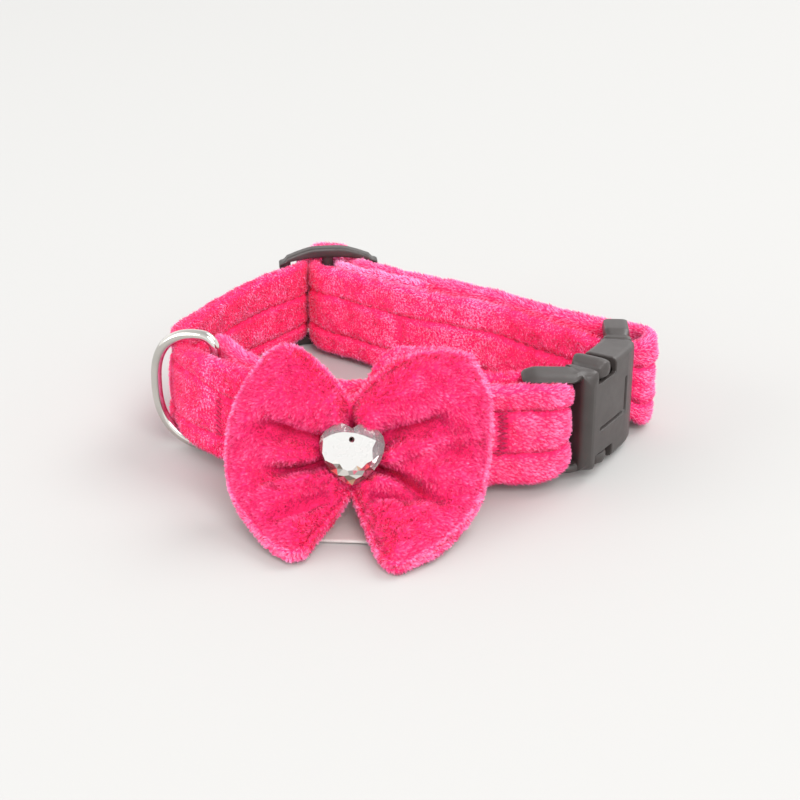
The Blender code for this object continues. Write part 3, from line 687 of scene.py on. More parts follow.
# Folds of the front from the crystal outwards: depth, half width, overhang, and points as (x, s)
FOLDS = [
    (5.6, 2.5, 1.6, [(-4.0, 4.2), (-7.6, 5.2), (-11.0, 6.2), (-13.6, 7.0), (-17.0, 7.2), (-21.0, 6.2)]),
    (5.2, 2.2, 1.2, [(-4.0, -0.6), (-7.2, -1.8), (-11.0, -3.0), (-14.4, -3.4), (-19.0, -4.4)]),
    (3.2, 2.4, 0.6, [(-6.0, -12.6), (-9.0, -14.6), (-12.0, -16.6), (-15.0, -18.6), (-18.0, -20.4)]),
    (5.2, 2.3, 1.5, [(4.6, 4.0), (8.4, 6.0), (11.4, 7.2), (14.8, 7.8), (18.0, 8.4), (23.0, 7.8)]),
    (5.8, 2.6, 2.0, [(4.4, -2.0), (7.6, -3.4), (11.0, -5.6), (14.6, -9.0), (17.4, -12.6), (21.6, -16.0)]),
    (3.2, 2.2, 0.5, [(5.0, -12.2), (7.6, -12.6), (11.0, -13.6), (15.0, -16.4)]),
    (1.5, 2.8, 0.0, [(12.0, 0.4), (16.0, 1.0), (20.2, 1.4), (25.0, 1.4)]),
    (1.0, 1.3, 0.0, [(-7.6, 1.2), (-11.0, 1.8), (-15.0, 2.2), (-19.0, 1.8)]),
    (3.4, 1.1, 0.6, [(0.6, 6.0), (0.3, 9.0), (-0.4, 12.0), (-0.8, 15.0)]),
]
RIM_INSET = 0.85
# From the front layer's edge round to the back's. Columns: out from the inset outline, offset
RIM_ROLL = [(0.45, 1.30), (0.76, 0.98), (0.84, 0.62), (0.66, 0.26), (0.30, 0.0)]
RIM_FADE = 5.0  # how far in the inset fades out
RIM_SLOPE = 6.5  # how far in the swell reaches its full height
EDGE_BLEND = 0.7  # distance over which the edge's ways out are blended
LAYER_HALF = 1.42  # from the sheet's middle to each layer at the rim
LAYER_GAP = 1.0  # least distance between the layers
BACK_SWELL = 1.0
BACK_WAVE = 0.4
# The flat middle under the crystal: half its size across and up, and how flat
KNOT_ACROSS = 5.0
KNOT_UP = 7.0
KNOT_FLAT = 0.92
# Fine gathers round the crystal: how many, height, distance and half width, and how they bunch
GATHERS = 19
GATHER_HEIGHT = 0.45
GATHER_REACH = 7.5
GATHER_HALF = 4.5
GATHER_BUNCHES = 3
GATHER_SWAY = 2
# Uneven cloth. Columns: wavelength, seed, height
BOW_WAVES = [(12.0, 21, 0.25), (5.0, 22, 0.10)]
# How far the back layer shows: along the right, and as a hump behind the right lobe's top
RIGHT_SHOWS, RIGHT_FROM, RIGHT_FADE = 0.5, 12, 6
HUMP_SHOWS, HUMP_MIDDLE, HUMP_HALF, HUMP_ABOVE = 2.9, 9.5, 5.0, 12
SHOW_FROM, SHOW_FADE = 0.4, 0.8
# Along a fold, as a share: where it ends and over what it fades; and how far it fades past each end
FOLD_END, FOLD_FADE = 1.06, 0.5
FOLD_START_FADE, FOLD_END_FADE = 1.5, 2.0
# The ridges beside a fold and its lap, as shares of its depth and half width
RIDGE_HEIGHT, RIDGE_AWAY, RIDGE_HALF = 0.28, 2.3, 1.5
LAP_AWAY, LAP_HALF = 1.2, 1.1
# A fold's darkness is painted shade: its fibres get a darker tone as well as being cut shorter
DARKEST_FOLD = 2.5  # depth at which a fold is darkest
BOW_NAP = (0.6, -0.4)  # how far the nap leans outwards and down
BOW_SWELL = 3.2
BOW_ACROSS = 48
BOW_UP = 88


def at_shares(points, shares):
    """Points so far along a curve through points."""
    curve = spline(points, CURVE_STEPS)
    steps = np.linalg.norm(np.diff(curve, axis=0), axis=1)
    along = np.concatenate([[0.0], np.cumsum(steps)])
    wanted = np.asarray(shares) * along[-1]
    return np.column_stack([np.interp(wanted, along, column) for column in curve.T])


def lobe_grid(lobe):
    """Places inside a lobe's outline as a grid of (x, s), blended from its four sides."""
    across = np.linspace(0, 1, BOW_ACROSS + 1)
    rise = np.linspace(0, 1, BOW_UP + 1)
    low, high = at_shares(lobe["bottom"], across), at_shares(lobe["top"], across)
    rim = at_shares(lobe["rim"], rise)
    foot, head = low[0], high[0]
    middle = foot + (head - foot) * rise[:, None]
    a, r = across[:, None, None], rise[None, :, None]
    blend = (1 - r) * low[:, None, :] + r * high[:, None, :]
    blend = blend + (1 - a) * middle[None, :, :] + a * rim[None, :, :]
    corners = (1 - a) * ((1 - r) * foot + r * head) + a * ((1 - r) * rim[0] + r * rim[-1])
    grid = blend - corners
    grid[..., 0] *= lobe["side"]
    return grid


def bow_outline():
    """Indices of the bow's edge as a loop over both grids, clockwise from the top middle."""
    a, r = BOW_ACROSS, BOW_UP
    loop = [("right", i, r) for i in range(0, a)]
    loop += [("right", a, j) for j in range(r, 0, -1)]
    loop += [("right", i, 0) for i in range(a, 0, -1)]
    loop += [("left", i, 0) for i in range(0, a)]
    loop += [("left", a, j) for j in range(0, r)]
    loop += [("left", i, r) for i in range(a, 0, -1)]
    return loop


def numbered(grids):
    """The number of each place in both grids, which share their middle column, and the places."""
    index, places = {}, []
    for name in ("left", "right"):
        for i in range(BOW_ACROSS + 1):
            for j in range(BOW_UP + 1):
                if name == "right" and i == 0:
                    index[(name, i, j)] = index[("left", 0, j)]
                    continue
                index[(name, i, j)] = len(places)
                places.append(grids[name][i, j])
    return index, np.array(places)


def nearest_on(places, polyline):
    """How far each place lies beside a polyline, how far past its nearest point, and its share along."""
    gaps = places[:, None, :] - polyline[None, :, :]
    near = np.linalg.norm(gaps, axis=2).argmin(axis=1)
    way = unit(np.gradient(polyline, axis=0))[near]
    gap = gaps[np.arange(len(places)), near]
    signed = way[:, 0] * gap[:, 1] - way[:, 1] * gap[:, 0]
    past = (way * gap).sum(axis=1)
    return signed, past, near / (len(polyline) - 1)


def folded(places):
    """Depth of the folds at rows of (x, s), and the shift of the cloth over them."""
    depth = np.zeros(len(places))
    shift = np.zeros_like(places)
    for deep, half, overhang, points in FOLDS:
        line = spline(points, CURVE_STEPS)
        signed, past, share = nearest_on(places, line)
        rightwards = 1.0 if line[-1, 0] > line[0, 0] else -1.0
        upper = signed * rightwards
        fade = smooth_step((FOLD_END - share) / FOLD_FADE)
        fade = fade * np.where(share <= 0, bell(past, FOLD_START_FADE), 1.0)
        fade = fade * np.where(share >= 1, bell(past, FOLD_END_FADE), 1.0)
        depth += deep * fade * bell(upper, half)
        ridge = bell(np.abs(upper) - RIDGE_AWAY * half, RIDGE_HALF * half)
        depth -= RIDGE_HEIGHT * deep * fade * ridge
        way = unit(np.gradient(line, axis=0))[(share * (len(line) - 1)).round().astype(int)]
        down = np.column_stack([way[:, 1], -way[:, 0]]) * rightwards
        lap = overhang * fade * bell(upper - LAP_AWAY * half, LAP_HALF * half)
        shift += down * lap[:, None]
    return depth, shift


def bow_profile(s):
    """Points (y, z) of the side profile and its forward normals at heights along the sheet."""
    curve = spline(np.array(BOW_PROFILE)[::-1], CURVE_STEPS)

    def at(height):
        return np.column_stack([np.interp(height, curve[:, 0], column) for column in curve[:, 1:].T])

    ahead = unit(at(s + 1) - at(s - 1))
    place = at(s)
    # past its ends the sheet runs straight on
    for end in (0, -1):
        past = s - curve[end, 0]
        beyond = past > 0 if end else past < 0
        place = np.where(beyond[:, None], place + ahead * past[:, None], place)
    return place, np.column_stack([-ahead[:, 1], ahead[:, 0]])


class Bow:
    """Two gathered layers of velvet, sewn together round their rim."""

    def __init__(self):
        grids = {"left": lobe_grid(LEFT_LOBE), "right": lobe_grid(RIGHT_LOBE)}
        loop = bow_outline()
        edge = np.array([grids[name][i, j] for name, i, j in loop])
        ahead = unit(np.roll(edge, -1, axis=0) - np.roll(edge, 1, axis=0))
        outwards = np.column_stack([-ahead[:, 1], ahead[:, 0]])
        index, places = numbered(grids)
        # distance to the edge, which shapes the swell and the rolled rim
        far = np.linalg.norm(edge[None, :, :] - places[:, None, :], axis=2)
        gaps = far.min(axis=1)
        weight = np.exp(-(far - gaps[:, None]) / EDGE_BLEND)
        pull = unit(weight @ outwards)
        inset = places - pull * (RIM_INSET * (1 - smooth_step(gaps / RIM_FADE)))[:, None]
        inner_edge = inset[[index[key] for key in loop]]

        layers, depth = self.gathered(inset, gaps)
        rolls = self.rolled(edge, inner_edge, outwards)
        self.points = np.vstack([*layers, *rolls])
        self.points[:, 2] = np.maximum(self.points[:, 2], LOWEST_CLOTH)
        self.front_count = len(places)
        self.faces = self.sewn(index, loop, len(rolls))
        unfolded = np.zeros(len(places) + len(rolls) * len(loop))
        self.fold_depth = np.concatenate([np.clip(depth / DARKEST_FOLD, 0, 1), unfolded])
        spine = np.concatenate([inset[:, 0], inset[:, 0], *[inner_edge[:, 0]] * len(rolls)])
        level = np.zeros(len(spine))
        self.nap = np.column_stack([np.sign(spine) * BOW_NAP[0], level, level + BOW_NAP[1]])

    def gathered(self, inset, gaps):
        """Points of the front and the back layer, and how deep the front's folds are."""
        depth, shift = folded(inset)
        rim_gap = np.clip(gaps / RIM_SLOPE, 0, 1)
        rise = np.sqrt(1 - (1 - rim_gap) ** 2)
        centre = np.exp(-((inset[:, 0] / KNOT_ACROSS) ** 2) - ((inset[:, 1] / KNOT_UP) ** 2))
        angle = np.arctan2(inset[:, 1], inset[:, 0])
        reach = np.hypot(inset[:, 0], inset[:, 1])
        turns = angle * GATHERS + np.sin(angle * GATHER_BUNCHES) * GATHER_SWAY
        gather = GATHER_HEIGHT * np.sin(turns) * bell(reach - GATHER_REACH, GATHER_HALF)
        wave = uneven(inset, BOW_WAVES)
        swell = BOW_SWELL * (1 - KNOT_FLAT * centre)
        front = LAYER_HALF + rise * (swell + (gather + wave) * (1 - centre) - depth)
        back = -LAYER_HALF - rise * (BACK_SWELL + BACK_WAVE * wave)
        front = np.maximum(front, back + LAYER_GAP)
        moved = inset + shift * (rise * (1 - centre))[:, None]
        return (self.bent(moved, front), self.bent(inset, back)), depth

    def rolled(self, edge, inner_edge, outwards):
        """Rows of points round the rim, from the front layer's edge to the back's."""
        right = RIGHT_SHOWS * smooth_step((edge[:, 0] - RIGHT_FROM) / RIGHT_FADE)
        hump = HUMP_SHOWS * bell(edge[:, 0] - HUMP_MIDDLE, HUMP_HALF) * (edge[:, 1] > HUMP_ABOVE)
        rows = []
        for out, offset in RIM_ROLL + [(out, -offset) for out, offset in reversed(RIM_ROLL[:-1])]:
            reach = out + (right + hump) * smooth_step((SHOW_FROM - offset) / SHOW_FADE)
            rows.append(self.bent(inner_edge + outwards * reach[:, None], np.full(len(edge), offset)))
        return rows

    def sewn(self, index, loop, rolls):
        """Faces of both layers, and of the rim that joins them."""
        count = self.front_count
        faces = []
        for name, turn in (("left", 1), ("right", -1)):
            for i in range(BOW_ACROSS):
                for j in range(BOW_UP):
                    corners = ((i, j), (i + 1, j), (i + 1, j + 1), (i, j + 1))
                    quad = [index[(name, *corner)] for corner in corners]
                    faces.append(quad[::-turn])
                    faces.append([count + k for k in quad[::turn]])
        rings = [[index[key] for key in loop]]
        for k in range(rolls):
            rings.append([2 * count + k * len(loop) + n for n in range(len(loop))])
        rings.append([count + index[key] for key in loop])
        for near, far in zip(rings, rings[1:]):
            for n in range(len(loop)):
                m = (n + 1) % len(loop)
                faces.append([near[n], near[m], far[m], far[n]])
        return faces

    @staticmethod
    def bent(places, offset):
        """Plan points of (x, s) places at an offset in front of the sheet's middle."""
        profile, normal = bow_profile(places[:, 1])
        at = profile + normal * offset[:, None]
        return np.column_stack([BOW_X + places[:, 0], at[:, 0], at[:, 1]])


# ---------------------------------------------------------------- pile
NAP_FLOW = 0.20
NAP_WAVE = 5.0  # wavelength of the nap's flow
NAP_JITTER = 0.34
TUFT_PULL = 0.52
TUFT_DIP = 0.28
# TUFT_SHADE sets painted shade: darker fibres at the rims of tufts, lighter ones in their middles
TUFT_SHADE = 0.34
TUFT_EVEN = 0.4  # place in a tuft at which its shade changes nothing
TUFT_CELL = 0.92  # side of the cells that tufts are picked from, as a share of their distance
TUFT_RIM = 0.62  # distance from a tuft's middle to its rim, as a share of that too
# How the grid of cells is turned
CELL_TURN = np.array([[0.80, 0.36, -0.48], [-0.60, 0.48, -0.64], [0.0, 0.80, 0.60]])
LENGTH_SPREAD = (0.7, 1.15)
WIDTH_SPREAD = (0.7, 1.3)
BLADE_TURN = 0.35  # how unevenly the blades face
ROOT_DEPTH = 0.1
LOWEST_TIP = 0.05
RAY_START = 0.12
LEAST_ROOM = 0.3  # fibres with less room than this in front of them are left out
ROOM_USED = 0.85  # and the others are cut to this share of it
FACE_LIGHT = 0.8  # how far a blade is lit as its own face, not as the cloth
# How tones vary: by tuft, by fibre and along the nap's flow
TUFT_TONE, FIBRE_TONE, FLOW_TONE = 0.10, 0.06, 0.05
TUFT_SEED = 7  # added to a pile's seed
BAKE_EDGE = 0.02  # left free round the map that bakes use


def triangles_of(obj):
    """A mesh's points in plan millimetres, its triangles and its vertex normals."""
    mesh = obj.data
    mesh.calc_loop_triangles()
    points = np.empty(len(mesh.vertices) * 3)
    mesh.vertices.foreach_get("co", points)
    corners = np.empty(len(mesh.loop_triangles) * 3, int)
    mesh.loop_triangles.foreach_get("vertices", corners)
    normals = np.array([tuple(normal.vector) for normal in mesh.vertex_normals])
    return points.reshape(-1, 3) / MM - PLAN_SHIFT, corners.reshape(-1, 3), normals


def swung(ring, turn):
    """The ring's points, triangles and normals once it has turned about its bar."""
    points, corners, normals = triangles_of(ring)
    cos, sin = math.cos(turn), math.sin(turn)
    points[:, :2] = (points[:, :2] - RING_BAR) @ np.array([[cos, sin], [-sin, cos]]) + RING_BAR
    return points, corners, normals


def solid_tree(meshes):
    """One tree of all these meshes' surfaces, in plan millimetres."""
    points, faces, start = [], [], 0
    for here, corners, _ in meshes:
        points.append(here)
        faces.append(corners + start)
        start += len(here)
    return BVHTree.FromPolygons(np.vstack(points).tolist(), np.vstack(faces).tolist())


def thinned(roots, apart):
    """Roots picked in turn, at most one in each cell of a grid that lies askew."""
    cells = np.floor(roots @ CELL_TURN / (TUFT_CELL * apart)).astype(int)
    _, first = np.unique(cells, axis=0, return_index=True)
    return np.sort(first)


def clumped(roots, tips, apart, pull):
    """Tips drawn together in tufts so far apart, each fibre's tuft, and how near its rim it stands."""
    centres = thinned(roots, apart)
    tree = KDTree(len(centres))
    for number, k in enumerate(centres):
        tree.insert(roots[k], number)
    tree.balance()
    found = [tree.find(root) for root in roots]
    tuft = np.array([number for _, number, _ in found])
    rim = smooth_step(np.array([far for _, _, far in found]) / (TUFT_RIM * apart))
    return tips + pull * (tips[centres][tuft] - tips), tuft, rim


def scattered(points, corners, weight, count, rng):
    """Places spread over triangles by weight: each one's triangle, and its shares of the corners."""
    a, b, c = points[corners[:, 0]], points[corners[:, 1]], points[corners[:, 2]]
    area = np.linalg.norm(np.cross(b - a, c - a), axis=1) / 2 * weight[corners].mean(axis=1)
    chance = area / area.sum()
    picked = rng.choice(len(corners), count, p=chance)
    u, v = rng.random((2, count))
    over = u + v > 1
    u, v = np.where(over, 1 - u, u), np.where(over, 1 - v, v)
    return picked, np.stack([1 - u - v, u, v], axis=1)[..., None]


def trimmed(roots, normal, way, size, tree):
    """Lengths cut short before the next surface, and which fibres have room to stand."""
    keep = np.ones(len(roots), bool)
    for k in range(len(roots)):
        start = roots[k] + normal[k] * RAY_START
        _, _, _, far = tree.ray_cast(Vector(start), Vector(way[k]), size[k] + LEAST_ROOM)
        if far is not None:
            if far < LEAST_ROOM:
                keep[k] = False
            else:
                size[k] = min(size[k], far * ROOM_USED)
    return size, keep


def grow_pile(cloth, weight, row, material, tree, seed):
    """Short fibres over a cloth, shorter in seams and kept out of what lies against them.

    Cloth holds its triangles, nap, cover and tone. Row gives the name, fibres, length, width and tuft.
    """
    (points, corners, normals), nap, cover, tone = cloth
    name, count, length, width, tuft_size = row
    rng = np.random.default_rng(seed)
    picked, share = scattered(points, corners, weight, count, rng)

    def at(values):
        return (values[corners[picked]] * share).sum(axis=1)

    roots, normal = at(points), unit(at(normals))
    held = at(cover[:, None])[:, 0]
    flow = np.stack([ripple(roots, NAP_WAVE, seed + k) for k in (1, 2, 3)], axis=1)
    lean = at(nap) + NAP_FLOW * flow + NAP_JITTER * rng.normal(size=roots.shape)
    lean -= normal * (lean * normal).sum(axis=1, keepdims=True)
    way = unit(normal + lean)
    size = (length * rng.uniform(*LENGTH_SPREAD, count) * held)[:, None]
    tips, tuft, rim = clumped(roots, roots + way * size, tuft_size, TUFT_PULL)
    way = unit(tips - roots)
    size = np.linalg.norm(tips - roots, axis=1) * (1 - TUFT_DIP * rim)
    size, keep = trimmed(roots, normal, way, size, tree)
    roots, normal, way, size = roots[keep], normal[keep], way[keep], size[keep]
    tuft, rim = tuft[keep], rim[keep]
    across = unit(np.cross(normal, way) + BLADE_TURN * rng.normal(size=roots.shape))
    wide = (width * rng.uniform(*WIDTH_SPREAD, len(roots)))[:, None]
    base = roots - normal * ROOT_DEPTH
    tips = base + way * size[:, None]
    tips[:, 2] = np.maximum(tips[:, 2], LOWEST_TIP)
    blades = np.stack([base - across * wide / 2, base + across * wide / 2, tips], axis=1)
    # wind each blade so that its front faces away from the skin
    facing = np.cross(blades[:, 1] - blades[:, 0], blades[:, 2] - blades[:, 0])
    away = (facing * normal).sum(axis=1) < 0
    blades[away] = blades[away][:, [1, 0, 2]]
    facing[away] *= -1
    made = add_mesh(name, blades.reshape(-1, 3), np.arange(3 * len(roots)).reshape(-1, 3), [material])
    # each fibre is lit as part of the cloth, turned a little towards its own face
    lit = unit(normal + FACE_LIGHT * unit(facing))
    made.data.normals_split_custom_set_from_vertices(np.repeat(lit, 3, axis=0).tolist())
    each = np.random.default_rng(seed + TUFT_SEED).normal(size=tuft.max() + 1)
    spread = TUFT_TONE * each[tuft] + FIBRE_TONE * rng.normal(size=len(roots))
    spread += FLOW_TONE * flow[keep][:, 0]
    # painted shade between tufts: fibres near a tuft's rim get a darker tone, those nearer its middle a
    # lighter one
    spread += TUFT_SHADE * (TUFT_EVEN - rim)
    tones = at(tone[:, None])[keep][:, 0] + spread
    store_pile(made.data, np.clip(tones, 0, 1))
    return made


def store_pile(mesh, tone):
    """Writes each fibre's tone and the height along it, also as the map that bakes use."""
    tones = np.repeat(tone, 3)
    heights = np.tile([0.0, 0.0, 1.0], len(tone))
    colours = np.column_stack([tones, heights, np.zeros(len(tones)), np.ones(len(tones))])
    held = mesh.attributes.new("pile", "FLOAT_COLOR", "POINT")
    held.data.foreach_set("color", colours.astype(np.float32).ravel())
    corner = np.empty(len(mesh.loops), int)
    mesh.loops.foreach_get("vertex_index", corner)
    spots = BAKE_EDGE + (1 - 2 * BAKE_EDGE) * np.column_stack([tones, heights])
    layer = mesh.uv_layers.new(name="OFBake")
    layer.uv.foreach_set("vector", spots[corner].astype(np.float32).ravel())


# The strap's piles. Columns: from and to along it, name, fibres, length, width, tuft
STRAP_PILES = [
    (-1, 130, "strap_pile_inner_back", 105_000, 1.0, 0.24, 0.6),
    (130, 250, "strap_pile_outer_back", 95_000, 1.0, 0.27, 0.6),
    (250, 352, "strap_pile_left", 95_000, 1.0, 0.24, 0.6),
    (352, 526, "strap_pile_front", 185_000, 1.05, 0.19, 0.75),
]
STRAP_SEED = 110
# Where the front's outer side is grown denser along the strap, and how many times denser
DENSE_FROM, DENSE_TO, DENSE = 380, 440, 1.8
# Along the strap, where painted light makes the cloth paler, and over how far that fades
PALE_END, PALE_AGAIN, PALE_STOP = 112, 244, 352
PALE_FADE, PALE_STOP_FADE = 10, 4
# Tone of the strap, the painted light that pale cloth adds and the painted shade that a seam takes away,
# and what a seam takes off the length
STRAP_TONE, PAINTED_LIGHT_TONE, SEAM_SHADE_TONE, SEAM_CUT = 0.58, 0.42, 0.65, 0.72


def pile_strap(strap, skin, material, tree):
    """The strap's fibres, in four pieces along it."""
    along, side = strap.along_points, strap.side_points
    # painted light: the cloth between the slider and the ring, and the inner back, are given a paler tone,
    # standing in for the sheen of their turned nap and for light these faces lack
    again = smooth_step((along - PALE_AGAIN) / PALE_FADE)
    again = again * smooth_step((PALE_STOP - along) / PALE_STOP_FADE)
    pale = smooth_step((PALE_END - along) / PALE_FADE) + again
    # painted shade darkens the fibres in the seams
    tone = STRAP_TONE + PAINTED_LIGHT_TONE * pale - SEAM_SHADE_TONE * strap.groove
    cloth = (triangles_of(skin), strap.nap, 1 - SEAM_CUT * strap.groove, tone)
    dense = (side == -1) & (along > DENSE_FROM) & (along < DENSE_TO)
    for number, (start, end, *row) in enumerate(STRAP_PILES):
        here = ((along > start) & (along <= end)).astype(float)
        weight = here * np.where(dense, DENSE, 1.0)
        fibres = grow_pile(cloth, weight, row, material, tree, STRAP_SEED + number)
        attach(fibres, "collar")


# The bow's piles. Columns: name, fibres, length, width, tuft
BOW_PILES = [
    ("bow_pile_front", 185_000, 1.05, 0.165, 0.7),
    ("bow_pile_back", 35_000, 1.0, 0.33, 0.9),
]
BOW_SEED = 310
# Tone of the bow, the painted shade that a fold takes away and the painted highlight that the rim adds, and
# what a fold takes off the length
BOW_TONE, FOLD_SHADE_TONE, RIM_HIGHLIGHT_TONE, FOLD_CUT = 0.25, 0.9, 0.4, 0.6


def pile_bow(bow, skin, material, tree):
    """The bow's fibres, in front with the rim, and behind."""
    front = np.zeros(len(bow.points))
    front[: bow.front_count] = 1.0
    rim = np.zeros(len(bow.points))
    rim[2 * bow.front_count :] = 1.0
    # painted shade in the folds and a painted highlight round the rim
    tone = BOW_TONE - FOLD_SHADE_TONE * bow.fold_depth + RIM_HIGHLIGHT_TONE * rim
    cloth = (triangles_of(skin), bow.nap, 1 - FOLD_CUT * bow.fold_depth, tone)
    for number, (row, weight) in enumerate(zip(BOW_PILES, (front + rim, 1 - front - rim))):
        fibres = grow_pile(cloth, weight, row, material, tree, BOW_SEED + number)
        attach(fibres, "collar")


# ---------------------------------------------------------------- hardware
BUCKLE_START = (26.2, -43.9)
# Columns: how far on, the heading there in degrees
BUCKLE_BENDS = [(0.0, 2), (9.3, 4), (3.0, 18), (2.0, 57), (17.5, 61), (6.0, 86), (14.0, 88)]
BUCKLE_LENGTH = 51.8
BUCKLE_LIFT = 1.6
HOUSING_START = 13.0
HOUSING_END = 36.4
HOUSING_HALF = 4.1
HOUSING_LOW = 1.2
HOUSING_HIGH = 26.2
HOUSING_MIDDLE = (HOUSING_LOW + HOUSING_HIGH) / 2
GRIP_MIDDLE = 20.1
MOULD_VOXEL = 0.2
MOULD_ROUNDS = 4
NOT_ZERO = 1e-6  # keeps a division from failing at a centre
SHELL_SHARE = 0.25  # of a shell's triangles are kept


def moulded(name, node, material):
    """A moulded piece over a CAD node: the same shape with soft edges."""
    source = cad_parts[node]
    copy = show(name, source.data.copy())
    skin = copy.modifiers.new("skin", "REMESH")
    skin.mode = "VOXEL"
    skin.voxel_size = MOULD_VOXEL * MM
    soften = copy.modifiers.new("soften", "SMOOTH")
    soften.factor = 0.5
    soften.iterations = MOULD_ROUNDS
    bpy.context.view_layer.update()
    graph = bpy.context.evaluated_depsgraph_get()
    mesh = bpy.data.meshes.new_from_object(copy.evaluated_get(graph))
    copy.modifiers.clear()
    copy.data = mesh
    mesh.materials.clear()
    mesh.materials.append(material)
    mesh.shade_smooth()
    return copy


def lighten(obj):
    """Keeps a share of a shell's triangles, most of them in its bends."""
    fewer = obj.modifiers.new("fewer", "DECIMATE")
    fewer.ratio = SHELL_SHARE
    even_shade = obj.modifiers.new("even_shade", "WEIGHTED_NORMAL")
    even_shade.weight = 50


def plan_points(obj):
    points = np.empty(len(obj.data.vertices) * 3)
    obj.data.vertices.foreach_get("co", points)
    return points.reshape(-1, 3) / MM - PLAN_SHIFT


def move_points(obj, points):
    obj.data.vertices.foreach_set("co", to_frame(points).ravel())
    obj.data.update()


def buckle_curve():
    """Stations along the buckle: place in plan, way outwards, and lift."""
    step = 0.2
    heads = np.array(BUCKLE_BENDS, float)
    along = np.arange(0.0, BUCKLE_LENGTH, step)
    heading = np.radians(np.interp(along, np.cumsum(heads[:, 0]), heads[:, 1]))
    ahead = np.column_stack([np.cos(heading), np.sin(heading)])
    place = np.array(BUCKLE_START) + np.vstack([[0, 0], np.cumsum(ahead[:-1] * step, axis=0)])
    outward = np.column_stack([np.sin(heading), -np.cos(heading)])
    lift = BUCKLE_LIFT * np.maximum(0.0, 1 - along / HOUSING_END)
    return along, place, outward, lift


def shape_buckle(obj, shape):
    """Moves a buckle piece's points by what a shape gives for (along, out, up) on its curve."""
    points = plan_points(obj)
    along, place, outward, lift = buckle_curve()
    gaps = points[:, None, :2] - place[None]
    near = (gaps**2).sum(axis=2).argmin(axis=1)
    gap = gaps[np.arange(len(points)), near]
    out = (gap * outward[near]).sum(axis=1)
    ahead = np.column_stack([-outward[near, 1], outward[near, 0]])
    more_out, more_up = shape(along[near] + (gap * ahead).sum(axis=1), out, points[:, 2] - lift[near])
    points[:, :2] += outward[near] * more_out[:, None]
    points[:, 2] += more_up
    move_points(obj, points)


# The housing's end wall and outer face, as headings in degrees, and the round where they meet
HOUSING_WALL = 33.2
HOUSING_FACE = 57.0
CORNER_MIDDLE = (41.63, -42.61)
CORNER_ROUND = 2.2
END_ROUND = 3.8
WALL_LIFT = 1.0
# Before the end wall, where the rounding of the corner ends and over what it fades
WALL_END, WALL_FADE = 1.2, 0.9
# The rounded ends at top and foot: how far in they fade out, and how far out and beyond they reach
END_FADE, END_OUT, END_OVER = 5.0, 0.5, 1.5


def round_housing(obj):
    """Rounds the housing's outer corner by the strap: down its height, and at its top and foot."""
    points = plan_points(obj)
    wall, face = np.radians(HOUSING_WALL), np.radians(HOUSING_FACE)
    into = np.array([math.cos(wall), math.sin(wall)])
    outward = np.array([math.sin(wall), -math.cos(wall)])
    away = np.array([math.sin(face), -math.cos(face)])
    gap = points[:, :2] - np.array(CORNER_MIDDLE)
    far = np.hypot(gap[:, 0], gap[:, 1])
    before_wall = gap @ -into - CORNER_ROUND
    # the corner's wedge lies between the ways that the end wall and the outer face look
    shares = gap @ np.linalg.inv([-into, away])
    wedge = (shares.min(axis=1) > 0) & (far > CORNER_ROUND)
    fade = np.where(wedge, smooth_step((WALL_END - before_wall) / WALL_FADE), 0.0)
    pull = fade * (1 - CORNER_ROUND / np.maximum(far, NOT_ZERO))
    points[:, :2] -= gap * pull[:, None]
    gap = points[:, :2] - np.array(CORNER_MIDDLE)
    # top and foot
    side = gap @ outward
    deep = CORNER_ROUND + gap @ into
    fade = smooth_step(1 - deep / END_FADE) * (deep > -END_OUT)
    for level, way in ((HOUSING_HIGH + WALL_LIFT, 1.0), (HOUSING_LOW + WALL_LIFT, -1.0)):
        across = side - (CORNER_ROUND - END_ROUND)
        over = (points[:, 2] - level) * way + END_ROUND
        reach = np.hypot(across, over)
        pull = (across > 0) & (over > 0) & (over < END_ROUND + END_OVER) & (reach > END_ROUND)
        share = np.where(pull, fade * (1 - END_ROUND / np.maximum(reach, NOT_ZERO)), 0.0)
        points[:, :2] -= outward * (across * share)[:, None]
        points[:, 2] -= way * over * share
    move_points(obj, points)


# Moulded line on the outer face. Columns: from and to along the buckle, from and to in height
MOULDED_LINE = [(30.3, 31.5, 10.6, 19.6), (17.6, 31.2, 10.2, 11.5)]
LINE_DEPTH = 0.45
LINE_SIDE = 0.35  # over what its sides fall
LINE_SKIN = 0.9  # how near the outer face it is cut
# The mouth's upper rail: where it ends along the buckle, and how far down it and its top reach
RAIL_END, RAIL_END_FADE = HOUSING_START + 0.5, 2.5
RAIL_DEEP, RAIL_FADE = 3, 1.0
RAIL_TOP, RAIL_TOP_FADE = 1.6, 1.2
RAIL_HALF = 2.1  # half the width over which its top turns from rising to falling
# How far its inner side rises, how much lower its outer side lies, and how far its tip falls
RAIL_RISE, RAIL_FALL, TIP_FALL = 0.5, 1.5, 0.9
RAIL_OUTER, RAIL_INNER = 0.55, 0.1  # share by which it is wider on each side
TIP_MIDDLE, TIP_HALF, TIP_NARROW = 0.6, 1.8, 0.35  # where the tip is, and how much less it widens


